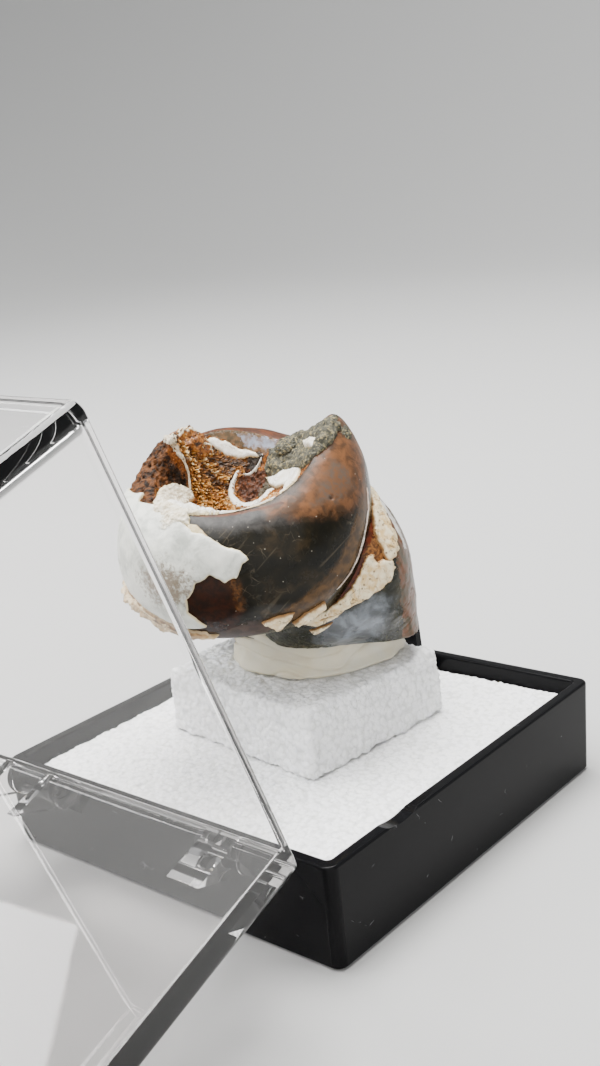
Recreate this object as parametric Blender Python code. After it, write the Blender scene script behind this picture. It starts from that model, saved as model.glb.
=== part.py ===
"""A fossil snail shell, mounted on foam in a black specimen box with a hinged clear lid.

Metres, +Z up. The origin is the centre of the box's underside, and the hinge wall faces -Y.
The lid rests open, leaning back on the surface that the box stands on.
"""

import math

import bmesh
import bpy
from mathutils import Euler, Matrix, Vector, noise
from mathutils.geometry import delaunay_2d_cdt

MM = 0.001

# The black base: a square tray, a little narrower at the bottom.
BOX_HALF = 27.0 * MM
BASE_HEIGHT = 12.3 * MM
BASE_WALL = 1.5 * MM
BASE_FLOOR = 1.5 * MM
BASE_DRAFT = 0.31 * MM
FOOT_BEVEL = 0.5 * MM
RIM_BEVEL = 0.35 * MM
CORNER_RADIUS = 1.3 * MM
INNER_CORNER = 0.45 * MM
CORNER_STEPS = 4

# The scoop for a fingertip in the rim of the +X wall.
SCOOP_CENTRE_Y = -14.5 * MM
SCOOP_RADIUS = 9.0 * MM
SCOOP_DEPTH = 0.5 * MM

# The catch tongue in the middle of the wall opposite the hinge.
TONGUE_ROOT = (3.6 * MM, 23.0 * MM, 26.2 * MM, 1.0 * MM, 11.6 * MM)
TONGUE_FRONT = 23.0 * MM
TONGUE_THICKNESS = 1.1 * MM
TONGUE_TOP = 19.0 * MM
TONGUE_LEAN = 0.45 * MM
TONGUE_HALF_WIDTHS = (3.5 * MM, 2.75 * MM)
TONGUE_CORNER = 0.8 * MM
SNAP_BEAD_HEIGHT = 17.3 * MM
SNAP_BEAD_RADIUS = 0.45 * MM
SNAP_BEAD_OUT = 0.18 * MM

# The two hinges, on one axis outside the wall at -Y.
HINGE_Y = -29.8 * MM
HINGE_Z = 12.1 * MM
AXIS_TO_WALL = 2.8 * MM
BARREL_HINGE_X = -15.5 * MM
BALL_HINGE_X = 15.5 * MM
BARREL_RADIUS = 1.8 * MM
BARREL_HALF = 2.65 * MM
DISC_RADIUS = 2.15 * MM
DISC_INNER, DISC_OUTER = 2.9 * MM, 4.6 * MM
CLEAR_BARREL_RADIUS = 2.0 * MM
CLEAR_BARREL_HALF = 2.35 * MM
BALL_RADIUS = 1.9 * MM
BALL_INNER, BALL_OUTER = 2.6 * MM, 3.9 * MM
DOME = 0.7 * MM
DISC_DOME = 0.35 * MM
PIN_RADIUS = 0.8 * MM
PIN_REACH = 1.1 * MM
BORE_RADIUS = 1.05 * MM
BORE_DEPTH = 1.3 * MM
DOME_STEPS = (0.35, 0.7, 0.92, 1.0)
DOME_SPREAD = 0.96
PLATE_INSET = 0.15 * MM
ROUND_SIDES = 24
# Side views of the web and the lug, in millimetres from the axis: +y is towards the box.
BASE_WEB = ((0.0, -0.3), (3.4, -0.3), (3.4, -5.3), (-1.2, -1.3))
LID_LUG = ((0.4, -0.7), (3.3, 0.62), (3.3, 7.7), (-1.5, 1.2))

# The clear lid, described closed, with heights counted from the hinge axis.
LID_DEPTH = 44.35 * MM
LID_RIM = 0.45 * MM
LID_WALL = 2.4 * MM
LID_DRAFT = 0.25 * MM
LID_CORNER = 1.3 * MM
LID_EDGE = 0.3 * MM

# The foam in the tray, and the block that stands on it.
SHEET_BOTTOM, SHEET_TOP = 1.8 * MM, 11.0 * MM
SHEET_HALF = 24.9 * MM
SHEET_NOTCH = (3.9 * MM, 22.7 * MM)
BLOCK_CENTRE = Vector((-1.3, 2.5)) * MM
BLOCK_HALVES = (14.0 * MM, 12.25 * MM)
BLOCK_TURN = math.radians(-5.5)
BLOCK_BOTTOM, BLOCK_TOP = 11.3 * MM, 19.5 * MM
BLOCK_TAPER = 0.45 * MM
BLOCK_ROUGHNESS = 0.35 * MM
BLOCK_GRAIN = 2.2 * MM
BLOCK_EDGE_WEAR = 0.28 * MM
BLOCK_CELLS = (12, 10, 4)

# The putty wad between the block and the shell.
PUTTY_CENTRE = Vector((-0.6, 6.2)) * MM
PUTTY_BOTTOM, PUTTY_TOP = 19.8 * MM, 25.2 * MM
PUTTY_RADII = (10.6 * MM, 10.2 * MM, 8.6 * MM)
# How far up the wad each ring lies, and its place from foot (0) to waist (1) to crown (2).
PUTTY_PROFILE = ((0.0, 0.0), (0.14, 0.35), (0.35, 0.75), (0.6, 1.0), (0.82, 1.3), (1.0, 2.0))
PUTTY_SIDES = 40
PUTTY_OVAL, PUTTY_WAVE = 0.035, 0.02
CLEARANCE = 0.35 * MM

# Where the shell sits, and the level at which its underside is cut off flat.
SHELL_CENTRE = Vector((-3.0, -3.7, 37.6)) * MM
SHELL_TILT = Euler([math.radians(angle) for angle in (13.84, -3.63, 42.91)])
SHELL_CUT = 22.8 * MM

# The upper whorl, in millimetres round its coiling axis. For each azimuth in degrees:
# rim radius and height, girth radius and height, foot radius and depth.
UPPER_WHORL = {
    0: (12.6, 12.0, 16.8, 4.1, 9.2, 10.2),
    20: (14.5, 11.6, 16.9, 4.4, 9.2, 9.7),
    32: (13.0, 9.3, 16.7, 3.5, 9.2, 9.3),
    45: (10.7, 8.0, 16.5, 1.9, 9.2, 8.8),
    66: (9.7, 9.0, 16.2, 0.8, 9.2, 8.3),
    90: (9.3, 10.0, 15.2, 0.0, 9.2, 8.0),
    115: (8.8, 10.4, 14.2, 0.0, 9.0, 7.8),
    138: (7.4, 12.3, 13.6, 0.0, 8.8, 7.8),
    150: (7.5, 11.6, 14.0, 0.0, 9.0, 7.8),
    165: (8.2, 9.6, 14.7, 0.0, 9.2, 7.8),
    180: (8.8, 9.0, 15.3, 0.0, 9.2, 7.7),
    225: (9.2, 8.7, 15.4, -0.2, 9.2, 7.7),
    270: (9.2, 8.4, 15.4, -0.4, 9.2, 7.7),
    315: (10.1, 9.2, 16.1, 0.6, 9.3, 8.6),
    340: (11.3, 10.9, 16.5, 2.7, 9.3, 9.7),
}
PIT_FLOOR = 3.1
PIT_CURVE = 1.7

# The lower whorl in the same way: shoulder radius and height, girth radius and height, base radius.
LOWER_WHORL = {
    0: (11.7, 4.4, 20.5, -7.8, 20.0),
    30: (11.7, 3.4, 19.1, -8.8, 18.9),
    60: (11.2, 1.0, 17.5, -9.2, 16.9),
    90: (10.7, 0.0, 16.3, -9.7, 15.6),
    120: (10.2, -1.9, 14.8, -10.2, 13.9),
    150: (8.8, -3.9, 11.1, -10.7, 8.4),
    180: (6.8, -5.8, 6.8, -10.7, 4.1),
    225: (5.8, -6.3, 5.1, -10.7, 2.5),
    270: (6.8, -5.8, 6.3, -9.7, 2.7),
    300: (8.8, -3.9, 11.7, -7.8, 4.9),
    315: (9.7, -1.9, 15.4, -7.3, 6.8),
    325: (10.2, 0.0, 17.5, -7.8, 9.7),
    334: (10.7, 1.9, 19.3, -8.3, 16.1),
    342: (11.0, 2.9, 20.2, -8.2, 19.9),
}
LOWER_CORE = -2.0
BASE_LEVEL = -16.0
BELOW_CUT = -22.0

# The reach of a point says how far along the whorl's section it lies.
# Upper whorl: 0 pit floor, 1 rim, 2 girth, 3 foot. Lower whorl: 0 shoulder, 1 girth, 2 base.
UPPER_REACHES = (
    0.2, 0.4, 0.6, 0.75, 0.88, 0.96, 1.0, 1.06, 1.15, 1.3, 1.45, 1.6, 1.8, 2.0, 2.2, 2.4, 2.65, 3.0,
)
LOWER_REACHES = (0.0, 0.25, 0.5, 0.75, 1.0, 1.25, 1.5, 2.0)
UPPER_STEP = 5
LOWER_STEP = 6
LOWER_START = 2.6

# Pieces of the shell wall that stand proud of the stone cast: azimuth in degrees and reach.
WHITE_PATCH = (
    (165, 1.2), (185, 1.06), (193, 1.14), (200, 1.04), (216, 0.97), (226, 0.99), (238, 1.02),
    (237, 1.15), (248, 1.28), (258, 1.35), (265, 1.45), (272, 1.5), (275, 1.6), (268, 1.74),
    (258, 1.7), (250, 1.76), (244.5, 1.92), (244, 2.05), (251, 2.23), (240, 2.3), (216, 2.2),
    (195, 2.15), (172, 2.0), (160, 1.6),
)
TORN_LIP = (
    (172, 2.28), (200, 2.15), (213, 2.2), (228, 2.3), (249, 2.36), (250, 2.46), (235, 2.56),
    (210, 2.5), (185, 2.46),
)
SUTURE_LEDGE = (
    (14, 0.4), (2, 0.4), (347, 0.42), (336, 0.51), (331.5, 0.56), (320, 0.66), (311, 0.76),
    (300, 0.9), (302, 1.0), (308, 0.95), (317, 0.88), (326, 0.78), (331.5, 0.78), (336, 0.76),
    (341, 0.68), (346, 0.65), (351, 0.51), (2, 0.46),
)

# Pieces of inner wall in the pit: places across the axis, in millimetres.
PIT_TRIANGLE = (
    (4.4, 4.3), (6.6, 3.7), (8.2, 1.5), (8.9, -2.0), (8.0, -5.6), (5.6, -7.3), (5.4, -4.0), (5.0, 0.0),
)
REAR_STRIP = (
    (-2.0, 7.9), (-1.2, 8.4), (0.1, 8.3), (1.8, 7.6), (3.7, 7.1), (3.9, 6.6), (1.7, 6.7), (0.0, 6.9),
)
PATCH_LIFT = 0.45 * MM
LEDGE_LIFT = 0.65 * MM
LIP_LIFT = 1.3 * MM
PIT_LIFT = 0.5 * MM
PLATE_SINK = 0.9 * MM
PLATE_CELL = 1.5 * MM
TEAR_PITCH = 1.6 * MM
TEAR_DEPTH = 0.6 * MM
TEAR_GRAIN = 0.7 * MM
MEAN_GIRTH = 15.0 * MM
MEAN_SECTION = 12.0 * MM
SAME_PLACE = 1e-7
WELD_GAP = 0.002 * MM
# Small steps that the surfaces' slopes are measured over: in reach, degrees and millimetres.
REACH_STEP, TURN_STEP, PIT_STEP = 0.02, 1.0, 0.3

# The crescent of an inner whorl's wall that stands on the pit floor: places across the axis.
CRESCENT = ((1.3, 5.6), (0.5, 4.6), (-0.1, 3.4), (0.1, 2.3), (0.9, 1.4), (2.2, 0.8), (3.6, 0.6), (4.9, 1.2))
CRESCENT_RADIUS = 0.75 * MM
CRESCENT_TALL = 1.5
CRESCENT_TIP = 0.55
CRESCENT_SIDES = 8

# Lumps of stone and crystal: place in millimetres and radii across and along the axis.
LUMPS = {
    "rim_crust": ((-5.2, 6.3, 11.2), (2.6, 1.9, 1.6)),
    "peak_stone": ((12.9, 1.6, 10.3), (2.6, 3.4, 1.6)),
    "break_stone": ((8.6, 6.6, 7.2), (2.6, 1.9, 1.3)),
    "pit_stone": ((9.0, 0.6, 8.0), (2.2, 2.4, 1.3)),
}
LUMP_ROUGHNESS = 0.35 * MM
LUMP_GRAIN = 1.1 * MM

# Colours
BLACK = (0.006, 0.006, 0.007, 1.0)
CLEAR = (0.95, 0.95, 0.95, 0.25)
FOAM_WHITE = (0.86, 0.87, 0.88, 1.0)
PUTTY_CREAM = (0.62, 0.59, 0.5, 1.0)
SHELL_BROWN = (0.11, 0.075, 0.05, 1.0)


# Small tools

def clear_scene():
    for thing in list(bpy.data.objects):
        bpy.data.objects.remove(thing, do_unlink=True)


def make_material(name, colour, roughness):
    material = bpy.data.materials.new(name)
    material.use_nodes = True
    shader = material.node_tree.nodes["Principled BSDF"]
    shader.inputs["Base Color"].default_value = colour
    shader.inputs["Roughness"].default_value = roughness
    shader.inputs["Metallic"].default_value = 0.0
    shader.inputs["Alpha"].default_value = colour[3]
    return material


def object_from(name, shape):
    """A mesh object made from a bmesh, with its faces turned outward."""
    bmesh.ops.recalc_face_normals(shape, faces=shape.faces)
    mesh = bpy.data.meshes.new(name)
    shape.to_mesh(mesh)
    shape.free()
    thing = bpy.data.objects.new(name, mesh)
    bpy.context.scene.collection.objects.link(thing)
    return thing


def helper_from(name, shape):
    thing = object_from(name, shape)
    thing.hide_render = True
    thing.display_type = "WIRE"
    return thing


def combine(target, helper, operation):
    helper.parent = target
    modifier = target.modifiers.new(helper.name, "BOOLEAN")
    modifier.operation = operation
    modifier.solver = "EXACT"
    modifier.object = helper


def finish(thing, material, angle=35):
    thing.data.materials.append(material)
    thing.data.shade_smooth()
    thing.data.set_sharp_from_angle(angle=math.radians(angle))


def loft(rings, poles=(None, None)):
    """A closed body through rings of equal length, ended by a face or by a single point at each end."""
    shape = bmesh.new()
    grid = [[shape.verts.new(point) for point in ring] for ring in rings]
    for lower, upper in zip(grid, grid[1:]):
        for i in range(len(lower)):
            j = (i + 1) % len(lower)
            shape.faces.new((lower[i], lower[j], upper[j], upper[i]))
    for ring, pole in ((grid[0], poles[0]), (grid[-1], poles[1])):
        if pole is None:
            shape.faces.new(ring)
            continue
        tip = shape.verts.new(pole)
        for i in range(len(ring)):
            shape.faces.new((ring[i], ring[(i + 1) % len(ring)], tip))
    return shape


def rounded_square(half, radius, height, centre_y=0.0):
    """A level square ring with rounded corners, counterclockwise from above."""
    ring = []
    for corner in range(4):
        for step in range(CORNER_STEPS + 1):
            bend = math.radians(90 * step / CORNER_STEPS)
            point = Vector((half - radius + radius * math.cos(bend), half - radius + radius * math.sin(bend)))
            point.rotate(Matrix.Rotation(math.radians(90 * corner), 2))
            ring.append(Vector((point.x, point.y + centre_y, height)))
    return ring


def round_along_x(stations):
    """A turned body along X, from (place, radius) pairs."""
    rings = []
    for place, radius in stations:
        turns = [2 * math.pi * side / ROUND_SIDES for side in range(ROUND_SIDES)]
        rings.append([Vector((place, radius * math.cos(turn), radius * math.sin(turn))) for turn in turns])
    return loft(rings)


def plate_along_x(outline, start, end):
    """A flat plate between two places on X, from its (y, z) outline in millimetres."""
    return loft([[Vector((place, y * MM, z * MM)) for y, z in outline] for place in (start, end)])


def block(low, high):
    corners = ((low[0], low[1]), (high[0], low[1]), (high[0], high[1]), (low[0], high[1]))
    return loft([[Vector((x, y, z)) for x, y in corners] for z in (low[2], high[2])])


def moved(shape, offset):
    bmesh.ops.translate(shape, verts=shape.verts, vec=offset)
    return shape


def roughened(point, depth, grain):
    """A point moved by smooth fixed noise, with lumps about `grain` across."""
    return point + depth * noise.noise_vector(point / grain)


# The box

def tray_shape():
    foot = BOX_HALF - BASE_DRAFT
    inner_top = BOX_HALF - BASE_WALL
    inner_foot = inner_top - BASE_DRAFT
    return loft([
        rounded_square(foot - FOOT_BEVEL, CORNER_RADIUS - FOOT_BEVEL, 0.0),
        rounded_square(foot, CORNER_RADIUS, FOOT_BEVEL),
        rounded_square(BOX_HALF, CORNER_RADIUS, BASE_HEIGHT - RIM_BEVEL),
        rounded_square(BOX_HALF - RIM_BEVEL, CORNER_RADIUS - RIM_BEVEL, BASE_HEIGHT),
        rounded_square(inner_top + RIM_BEVEL, INNER_CORNER + RIM_BEVEL, BASE_HEIGHT),
        rounded_square(inner_top, INNER_CORNER, BASE_HEIGHT - RIM_BEVEL),
        rounded_square(inner_foot, INNER_CORNER, BASE_FLOOR),
    ])


def scoop_shape():
    """A flat-lying cylinder that dips into the rim."""
    shape = round_along_x([(BOX_HALF - 3 * BASE_WALL, SCOOP_RADIUS), (BOX_HALF + BASE_WALL, SCOOP_RADIUS)])
    return moved(shape, Vector((0, SCOOP_CENTRE_Y, BASE_HEIGHT + SCOOP_RADIUS - SCOOP_DEPTH)))


def tongue_shape():
    """An upright tongue with rounded top corners, leaning a little towards the box above the rim."""
    low, high = TONGUE_HALF_WIDTHS
    levels = [(BASE_FLOOR / 2, low), (BASE_HEIGHT, low)]
    for step in range(CORNER_STEPS + 1):
        bend = math.radians(90 * step / CORNER_STEPS)
        drop, inset = TONGUE_CORNER * (1 - math.sin(bend)), TONGUE_CORNER * (1 - math.cos(bend))
        levels.append((TONGUE_TOP - drop, high - inset))
    rings = []
    for height, half in levels:
        lean = TONGUE_LEAN * max(0.0, height - BASE_HEIGHT) / (TONGUE_TOP - BASE_HEIGHT)
        near = TONGUE_FRONT - lean
        far = near + TONGUE_THICKNESS
        corners = ((-half, near), (half, near), (half, far), (-half, far))
        rings.append([Vector((x, y, height)) for x, y in corners])
    return loft(rings)


def snap_bead_shape():
    lean = TONGUE_LEAN * (SNAP_BEAD_HEIGHT - BASE_HEIGHT) / (TONGUE_TOP - BASE_HEIGHT)
    face = TONGUE_FRONT + TONGUE_THICKNESS - lean
    reach = TONGUE_HALF_WIDTHS[1] - TONGUE_CORNER
    shape = round_along_x([(-reach, SNAP_BEAD_RADIUS), (reach, SNAP_BEAD_RADIUS)])
    return moved(shape, Vector((0, face + SNAP_BEAD_OUT - SNAP_BEAD_RADIUS, SNAP_BEAD_HEIGHT)))


def at_hinge(shape, x):
    return moved(shape, Vector((x, HINGE_Y, HINGE_Z)))


def disc_stations(inner, outer, radius, side, dome):
    """Stations of a domed disc on one side of a knuckle, with its stub pin towards the middle."""
    stations = [(inner - PIN_REACH, PIN_RADIUS), (inner, PIN_RADIUS), (inner, radius), (outer, radius)]
    for share in DOME_STEPS:
        stations.append((outer + dome * math.sqrt(share), radius * math.sqrt(1 - share * DOME_SPREAD)))
    return [(side * place, size) for place, size in stations]


def barrel_shape(radius, half):
    return round_along_x([(-half, radius), (half, radius)])


def bore_shape(half, side):
    """The blind bore in one end of a barrel, for the neighbouring knuckle's pin."""
    ends = (side * (half - BORE_DEPTH), side * (half + PLATE_INSET))
    return round_along_x([(end, BORE_RADIUS) for end in ends])


def box_base(material):
    base = object_from("box_base", tray_shape())
    combine(base, helper_from("finger_scoop", scoop_shape()), "DIFFERENCE")
    half, near, far, low, high = TONGUE_ROOT
    combine(base, helper_from("tongue_root", block((-half, near, low), (half, far, high))), "UNION")
    combine(base, helper_from("tongue", tongue_shape()), "UNION")
    combine(base, helper_from("snap_bead", snap_bead_shape()), "UNION")
    half = BARREL_HALF - PLATE_INSET
    plate = at_hinge(plate_along_x(BASE_WEB, -half, half), BARREL_HINGE_X)
    combine(base, helper_from("barrel_web", plate), "UNION")
    barrel = at_hinge(barrel_shape(BARREL_RADIUS, BARREL_HALF), BARREL_HINGE_X)
    combine(base, helper_from("barrel", barrel), "UNION")
    for side, label in ((-1, "near"), (1, "far")):
        bore = at_hinge(bore_shape(BARREL_HALF, side), BARREL_HINGE_X)
        combine(base, helper_from(f"barrel_bore_{label}", bore), "DIFFERENCE")
        ends = (side * (BALL_INNER + PLATE_INSET), side * (BALL_OUTER - PLATE_INSET))
        plate = at_hinge(plate_along_x(BASE_WEB, *ends), BALL_HINGE_X)
        combine(base, helper_from(f"ball_web_{label}", plate), "UNION")
        stations = disc_stations(BALL_INNER, BALL_OUTER, BALL_RADIUS, side, DOME)
        ball = at_hinge(round_along_x(stations), BALL_HINGE_X)
        combine(base, helper_from(f"ball_{label}", ball), "UNION")
    finish(base, material)
    return base


def lid_shell_shape():
    """The closed lid about the hinge axis: outside from the rim up, then inside down to the rim."""
    middle = -HINGE_Y
    top_half = BOX_HALF - LID_DRAFT
    inner = BOX_HALF - LID_WALL
    inner_top = top_half - LID_WALL
    ceiling = LID_DEPTH - LID_WALL

    def ring(half, radius, height):
        return rounded_square(half, radius, height, middle)

    return loft([
        ring(inner_top - LID_EDGE, INNER_CORNER, ceiling),
        ring(inner_top, INNER_CORNER + LID_EDGE, ceiling - LID_EDGE),
        ring(inner, INNER_CORNER + LID_EDGE, LID_RIM),
        ring(BOX_HALF - LID_EDGE, LID_CORNER - LID_EDGE, LID_RIM),
        ring(BOX_HALF, LID_CORNER, LID_RIM + LID_EDGE),
        ring(top_half, LID_CORNER, LID_DEPTH - LID_EDGE),
        ring(top_half - LID_EDGE, LID_CORNER - LID_EDGE, LID_DEPTH),
    ])


def lid_rest_angle():
    """How far the lid is open when the far edge of its hinge wall lies on the ground."""
    out = AXIS_TO_WALL + LID_DRAFT
    up = LID_DEPTH - LID_EDGE
    return math.atan2(out, up) + math.acos(-HINGE_Z / math.hypot(out, up))


def lid(material):
    cover = object_from("lid", lid_shell_shape())
    for side, label in ((-1, "near"), (1, "far")):
        ends = (side * (DISC_INNER + PLATE_INSET), side * (DISC_OUTER - PLATE_INSET))
        plate = moved(plate_along_x(LID_LUG, *ends), Vector((BARREL_HINGE_X, 0, 0)))
        combine(cover, helper_from(f"disc_lug_{label}", plate), "UNION")
        stations = disc_stations(DISC_INNER, DISC_OUTER, DISC_RADIUS, side, DISC_DOME)
        disc = moved(round_along_x(stations), Vector((BARREL_HINGE_X, 0, 0)))
        combine(cover, helper_from(f"disc_{label}", disc), "UNION")
    half = CLEAR_BARREL_HALF - PLATE_INSET
    place = Vector((BALL_HINGE_X, 0, 0))
    combine(cover, helper_from("clear_lug", moved(plate_along_x(LID_LUG, -half, half), place)), "UNION")
    barrel = moved(barrel_shape(CLEAR_BARREL_RADIUS, CLEAR_BARREL_HALF), place)
    combine(cover, helper_from("clear_barrel", barrel), "UNION")
    for side, label in ((-1, "near"), (1, "far")):
        bore = moved(bore_shape(CLEAR_BARREL_HALF, side), place)
        combine(cover, helper_from(f"clear_bore_{label}", bore), "DIFFERENCE")
    cover.location = (0, HINGE_Y, HINGE_Z)
    cover.rotation_euler.x = lid_rest_angle()
    finish(cover, material)
    return cover


# The foam and the putty

def foam_sheet(material):
    half, depth = SHEET_NOTCH
    low, high = (-SHEET_HALF, -SHEET_HALF, SHEET_BOTTOM), (SHEET_HALF, SHEET_HALF, SHEET_TOP)
    sheet = object_from("foam_sheet", block(low, high))
    notch = block((-half, depth, 0.0), (half, BOX_HALF, BASE_HEIGHT))
    combine(sheet, helper_from("tongue_notch", notch), "DIFFERENCE")
    finish(sheet, material)
    return sheet


def foam_block(material):
    """A hand-cut block with rough edges, on the sheet."""
    shape = bmesh.new()
    bmesh.ops.create_cube(shape, size=2.0)
    for axis, cells in enumerate(BLOCK_CELLS):
        edges = [edge for edge in shape.edges if abs((edge.verts[0].co - edge.verts[1].co)[axis]) > 1.5]
        bmesh.ops.subdivide_edges(shape, edges=edges, cuts=cells - 1, use_grid_fill=True)
    middle = Vector((BLOCK_CENTRE.x, BLOCK_CENTRE.y, (BLOCK_BOTTOM + BLOCK_TOP) / 2))
    turn = Matrix.Rotation(BLOCK_TURN, 3, "Z")
    for vert in shape.verts:
        unit = vert.co.copy()
        taper = BLOCK_TAPER * (unit.z + 1) / 2
        wide, deep = BLOCK_HALVES[0] - taper, BLOCK_HALVES[1] - taper
        point = Vector((unit.x * wide, unit.y * deep, unit.z * (BLOCK_TOP - BLOCK_BOTTOM) / 2))
        rough = roughened(point, BLOCK_ROUGHNESS, BLOCK_GRAIN) - point
        sides_met = sum(abs(value) > 0.999 for value in unit)
        rough -= unit * BLOCK_EDGE_WEAR * (sides_met - 1)
        if unit.z < -0.999:
            rough.z = 0.0
        if unit.z > 0.999:
            rough.z = min(0.0, rough.z)
        vert.co = turn @ (point + rough) + middle
    foam = object_from("foam_block", shape)
    finish(foam, material, 60)
    return foam


def putty_shape():
    """A squashed wad, a little uneven round its side."""
    foot, waist, crown = PUTTY_RADII
    rings = []
    for rise, share in PUTTY_PROFILE:
        radius = foot + (waist - foot) * share if share <= 1 else waist + (crown - waist) * (share - 1)
        height = PUTTY_BOTTOM + (PUTTY_TOP - PUTTY_BOTTOM) * rise
        ring = []
        for side in range(PUTTY_SIDES):
            turn = 2 * math.pi * side / PUTTY_SIDES
            uneven = 1 + PUTTY_OVAL * math.sin(2 * turn) + PUTTY_WAVE * math.sin(5 * turn + 2 * rise)
            ring.append(Vector((
                PUTTY_CENTRE.x + radius * uneven * math.cos(turn),
                PUTTY_CENTRE.y + radius * uneven * math.sin(turn),
                height,
            )))
        rings.append(ring)
    return loft(rings)


# The fossil

def section_at(table, azimuth):
    """The section at an azimuth, on a smooth closed curve through the given sections."""
    stations = sorted(table)
    azimuth %= 360
    after = next((i for i, station in enumerate(stations) if station > azimuth), len(stations))
    place, values = [], []
    for offset in (-2, -1, 0, 1):
        turns, index = divmod(after + offset, len(stations))
        place.append(stations[index] + 360 * turns)
        values.append(table[stations[index]])
    span = place[2] - place[1]
    t = (azimuth - place[1]) / span
    blend = (2 * t**3 - 3 * t**2 + 1, t**3 - 2 * t**2 + t, -2 * t**3 + 3 * t**2, t**3 - t**2)
    found = []
    for before, start, end, later in zip(*values):
        leave = (end - before) / (place[2] - place[0]) * span
        arrive = (later - start) / (place[3] - place[1]) * span
        found.append(blend[0] * start + blend[1] * leave + blend[2] * end + blend[3] * arrive)
    return found


def polar(azimuth, radius, height):
    turn = math.radians(azimuth)
    return Vector((radius * math.cos(turn), radius * math.sin(turn), height)) * MM


def upper_point(azimuth, reach):
    rim, rim_height, girth, girth_height, foot, depth = section_at(UPPER_WHORL, azimuth)
    if reach <= 1:
        return polar(azimuth, rim * reach, PIT_FLOOR + (rim_height - PIT_FLOOR) * reach**PIT_CURVE)
    if reach <= 2:
        bend = (reach - 1) * math.pi / 2
        radius = rim + (girth - rim) * math.sin(bend)
        return polar(azimuth, radius, girth_height + (rim_height - girth_height) * math.cos(bend))
    bend = (reach - 2) * math.pi / 2
    radius = foot + (girth - foot) * math.cos(bend)
    return polar(azimuth, radius, girth_height - (girth_height + depth) * math.sin(bend))


def lower_point(azimuth, reach):
    shoulder, shoulder_height, girth, girth_height, base = section_at(LOWER_WHORL, azimuth)
    if reach <= 1:
        bend = reach * math.pi / 2
        radius = shoulder + (girth - shoulder) * math.sin(bend)
        return polar(azimuth, radius, girth_height + (shoulder_height - girth_height) * math.cos(bend))
    drop = reach - 1
    return polar(azimuth, girth + (base - girth) * drop**2, girth_height + (BASE_LEVEL - girth_height) * drop)


def outward(surface, azimuth, reach):
    """The surface's outward direction, from its slopes both ways."""
    low = max(reach - REACH_STEP, REACH_STEP)
    along = surface(azimuth + TURN_STEP, reach) - surface(azimuth - TURN_STEP, reach)
    down = surface(azimuth, reach + REACH_STEP) - surface(azimuth, low)
    return down.cross(along).normalized()


def grown(surface, azimuth, reach, growth):
    point = surface(azimuth, reach)
    if growth:
        point += outward(surface, azimuth, reach) * growth
    return point


def upper_whorl_shape(growth=0.0):
    azimuths = range(0, 360, UPPER_STEP)
    rings = [[grown(upper_point, azimuth, reach, growth) for azimuth in azimuths] for reach in UPPER_REACHES]
    floor = Vector((0, 0, PIT_FLOOR * MM))
    foot = sum(rings[-1], Vector()) / len(rings[-1])
    return loft(rings, (floor, foot))


def lower_whorl_shape(growth=0.0):
    azimuths = [LOWER_START + turn for turn in range(0, 360, LOWER_STEP)]
    rings = [[grown(lower_point, azimuth, reach, growth) for azimuth in azimuths] for reach in LOWER_REACHES]
    rings.append([Vector((point.x, point.y, BELOW_CUT * MM)) for point in rings[-1]])
    shape = loft(rings, (Vector((0, 0, LOWER_CORE * MM)), Vector((0, 0, BELOW_CUT * MM))))
    cut_flat(shape, growth)
    return shape


def cut_flat(shape, growth):
    """Cuts the whorl at the level where the specimen was sawn, and closes it there."""
    to_local = SHELL_TILT.to_matrix().transposed()
    level = Vector((0, 0, SHELL_CUT - growth))
    place = to_local @ (level - Vector((0, 0, SHELL_CENTRE.z)))
    up = to_local @ Vector((0, 0, 1))
    everything = shape.verts[:] + shape.edges[:] + shape.faces[:]
    cut = bmesh.ops.bisect_plane(shape, geom=everything, plane_co=place, plane_no=up, clear_inner=True)
    edges = [item for item in cut["geom_cut"] if isinstance(item, bmesh.types.BMEdge)]
    bmesh.ops.contextual_create(shape, geom=edges)


def torn(corners):
    """A flat outline with a small tear at every step."""
    points = []
    for start, end in zip(corners, corners[1:] + corners[:1]):
        steps = max(1, round((end - start).length / TEAR_PITCH))
        for step in range(steps):
            point = start.lerp(end, step / steps)
            if step:
                side = (end - start).orthogonal().normalized()
                point += side * TEAR_DEPTH * noise.noise(Vector((point.x, point.y, 0)) / TEAR_GRAIN)
            points.append(point)
    return points


def inside_grid(border):
    """Places on a square grid inside a border and clear of it."""
    low = Vector((min(point.x for point in border), min(point.y for point in border)))
    high = Vector((max(point.x for point in border), max(point.y for point in border)))
    found = []
    for column in range(1, int((high.x - low.x) / PLATE_CELL) + 1):
        for row in range(1, int((high.y - low.y) / PLATE_CELL) + 1):
            place = low + Vector((column, row)) * PLATE_CELL
            if all((place - edge).length > PLATE_CELL / 2 for edge in border):
                found.append(place)
    return found


def wall_plate(corners, place_on, lift):
    """A plate of shell wall with a torn edge, standing out of a surface and sunk into it."""
    border = torn(corners)
    made = delaunay_2d_cdt(border + inside_grid(border), [], [list(range(len(border)))], 1, SAME_PLACE)
    places, triangles = made[0], made[2]
    shape = bmesh.new()
    top = [shape.verts.new(place_on(place, lift)) for place in places]
    under = [shape.verts.new(place_on(place, -PLATE_SINK)) for place in places]
    sides = {}
    for triangle in triangles:
        shape.faces.new([top[i] for i in triangle])
        shape.faces.new([under[i] for i in reversed(triangle)])
        for pair in zip(triangle, triangle[1:] + triangle[:1]):
            key = tuple(sorted(pair))
            sides[key] = None if key in sides else pair
    for first, second in filter(None, sides.values()):
        shape.faces.new((top[second], top[first], under[first], under[second]))
    return shape


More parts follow.
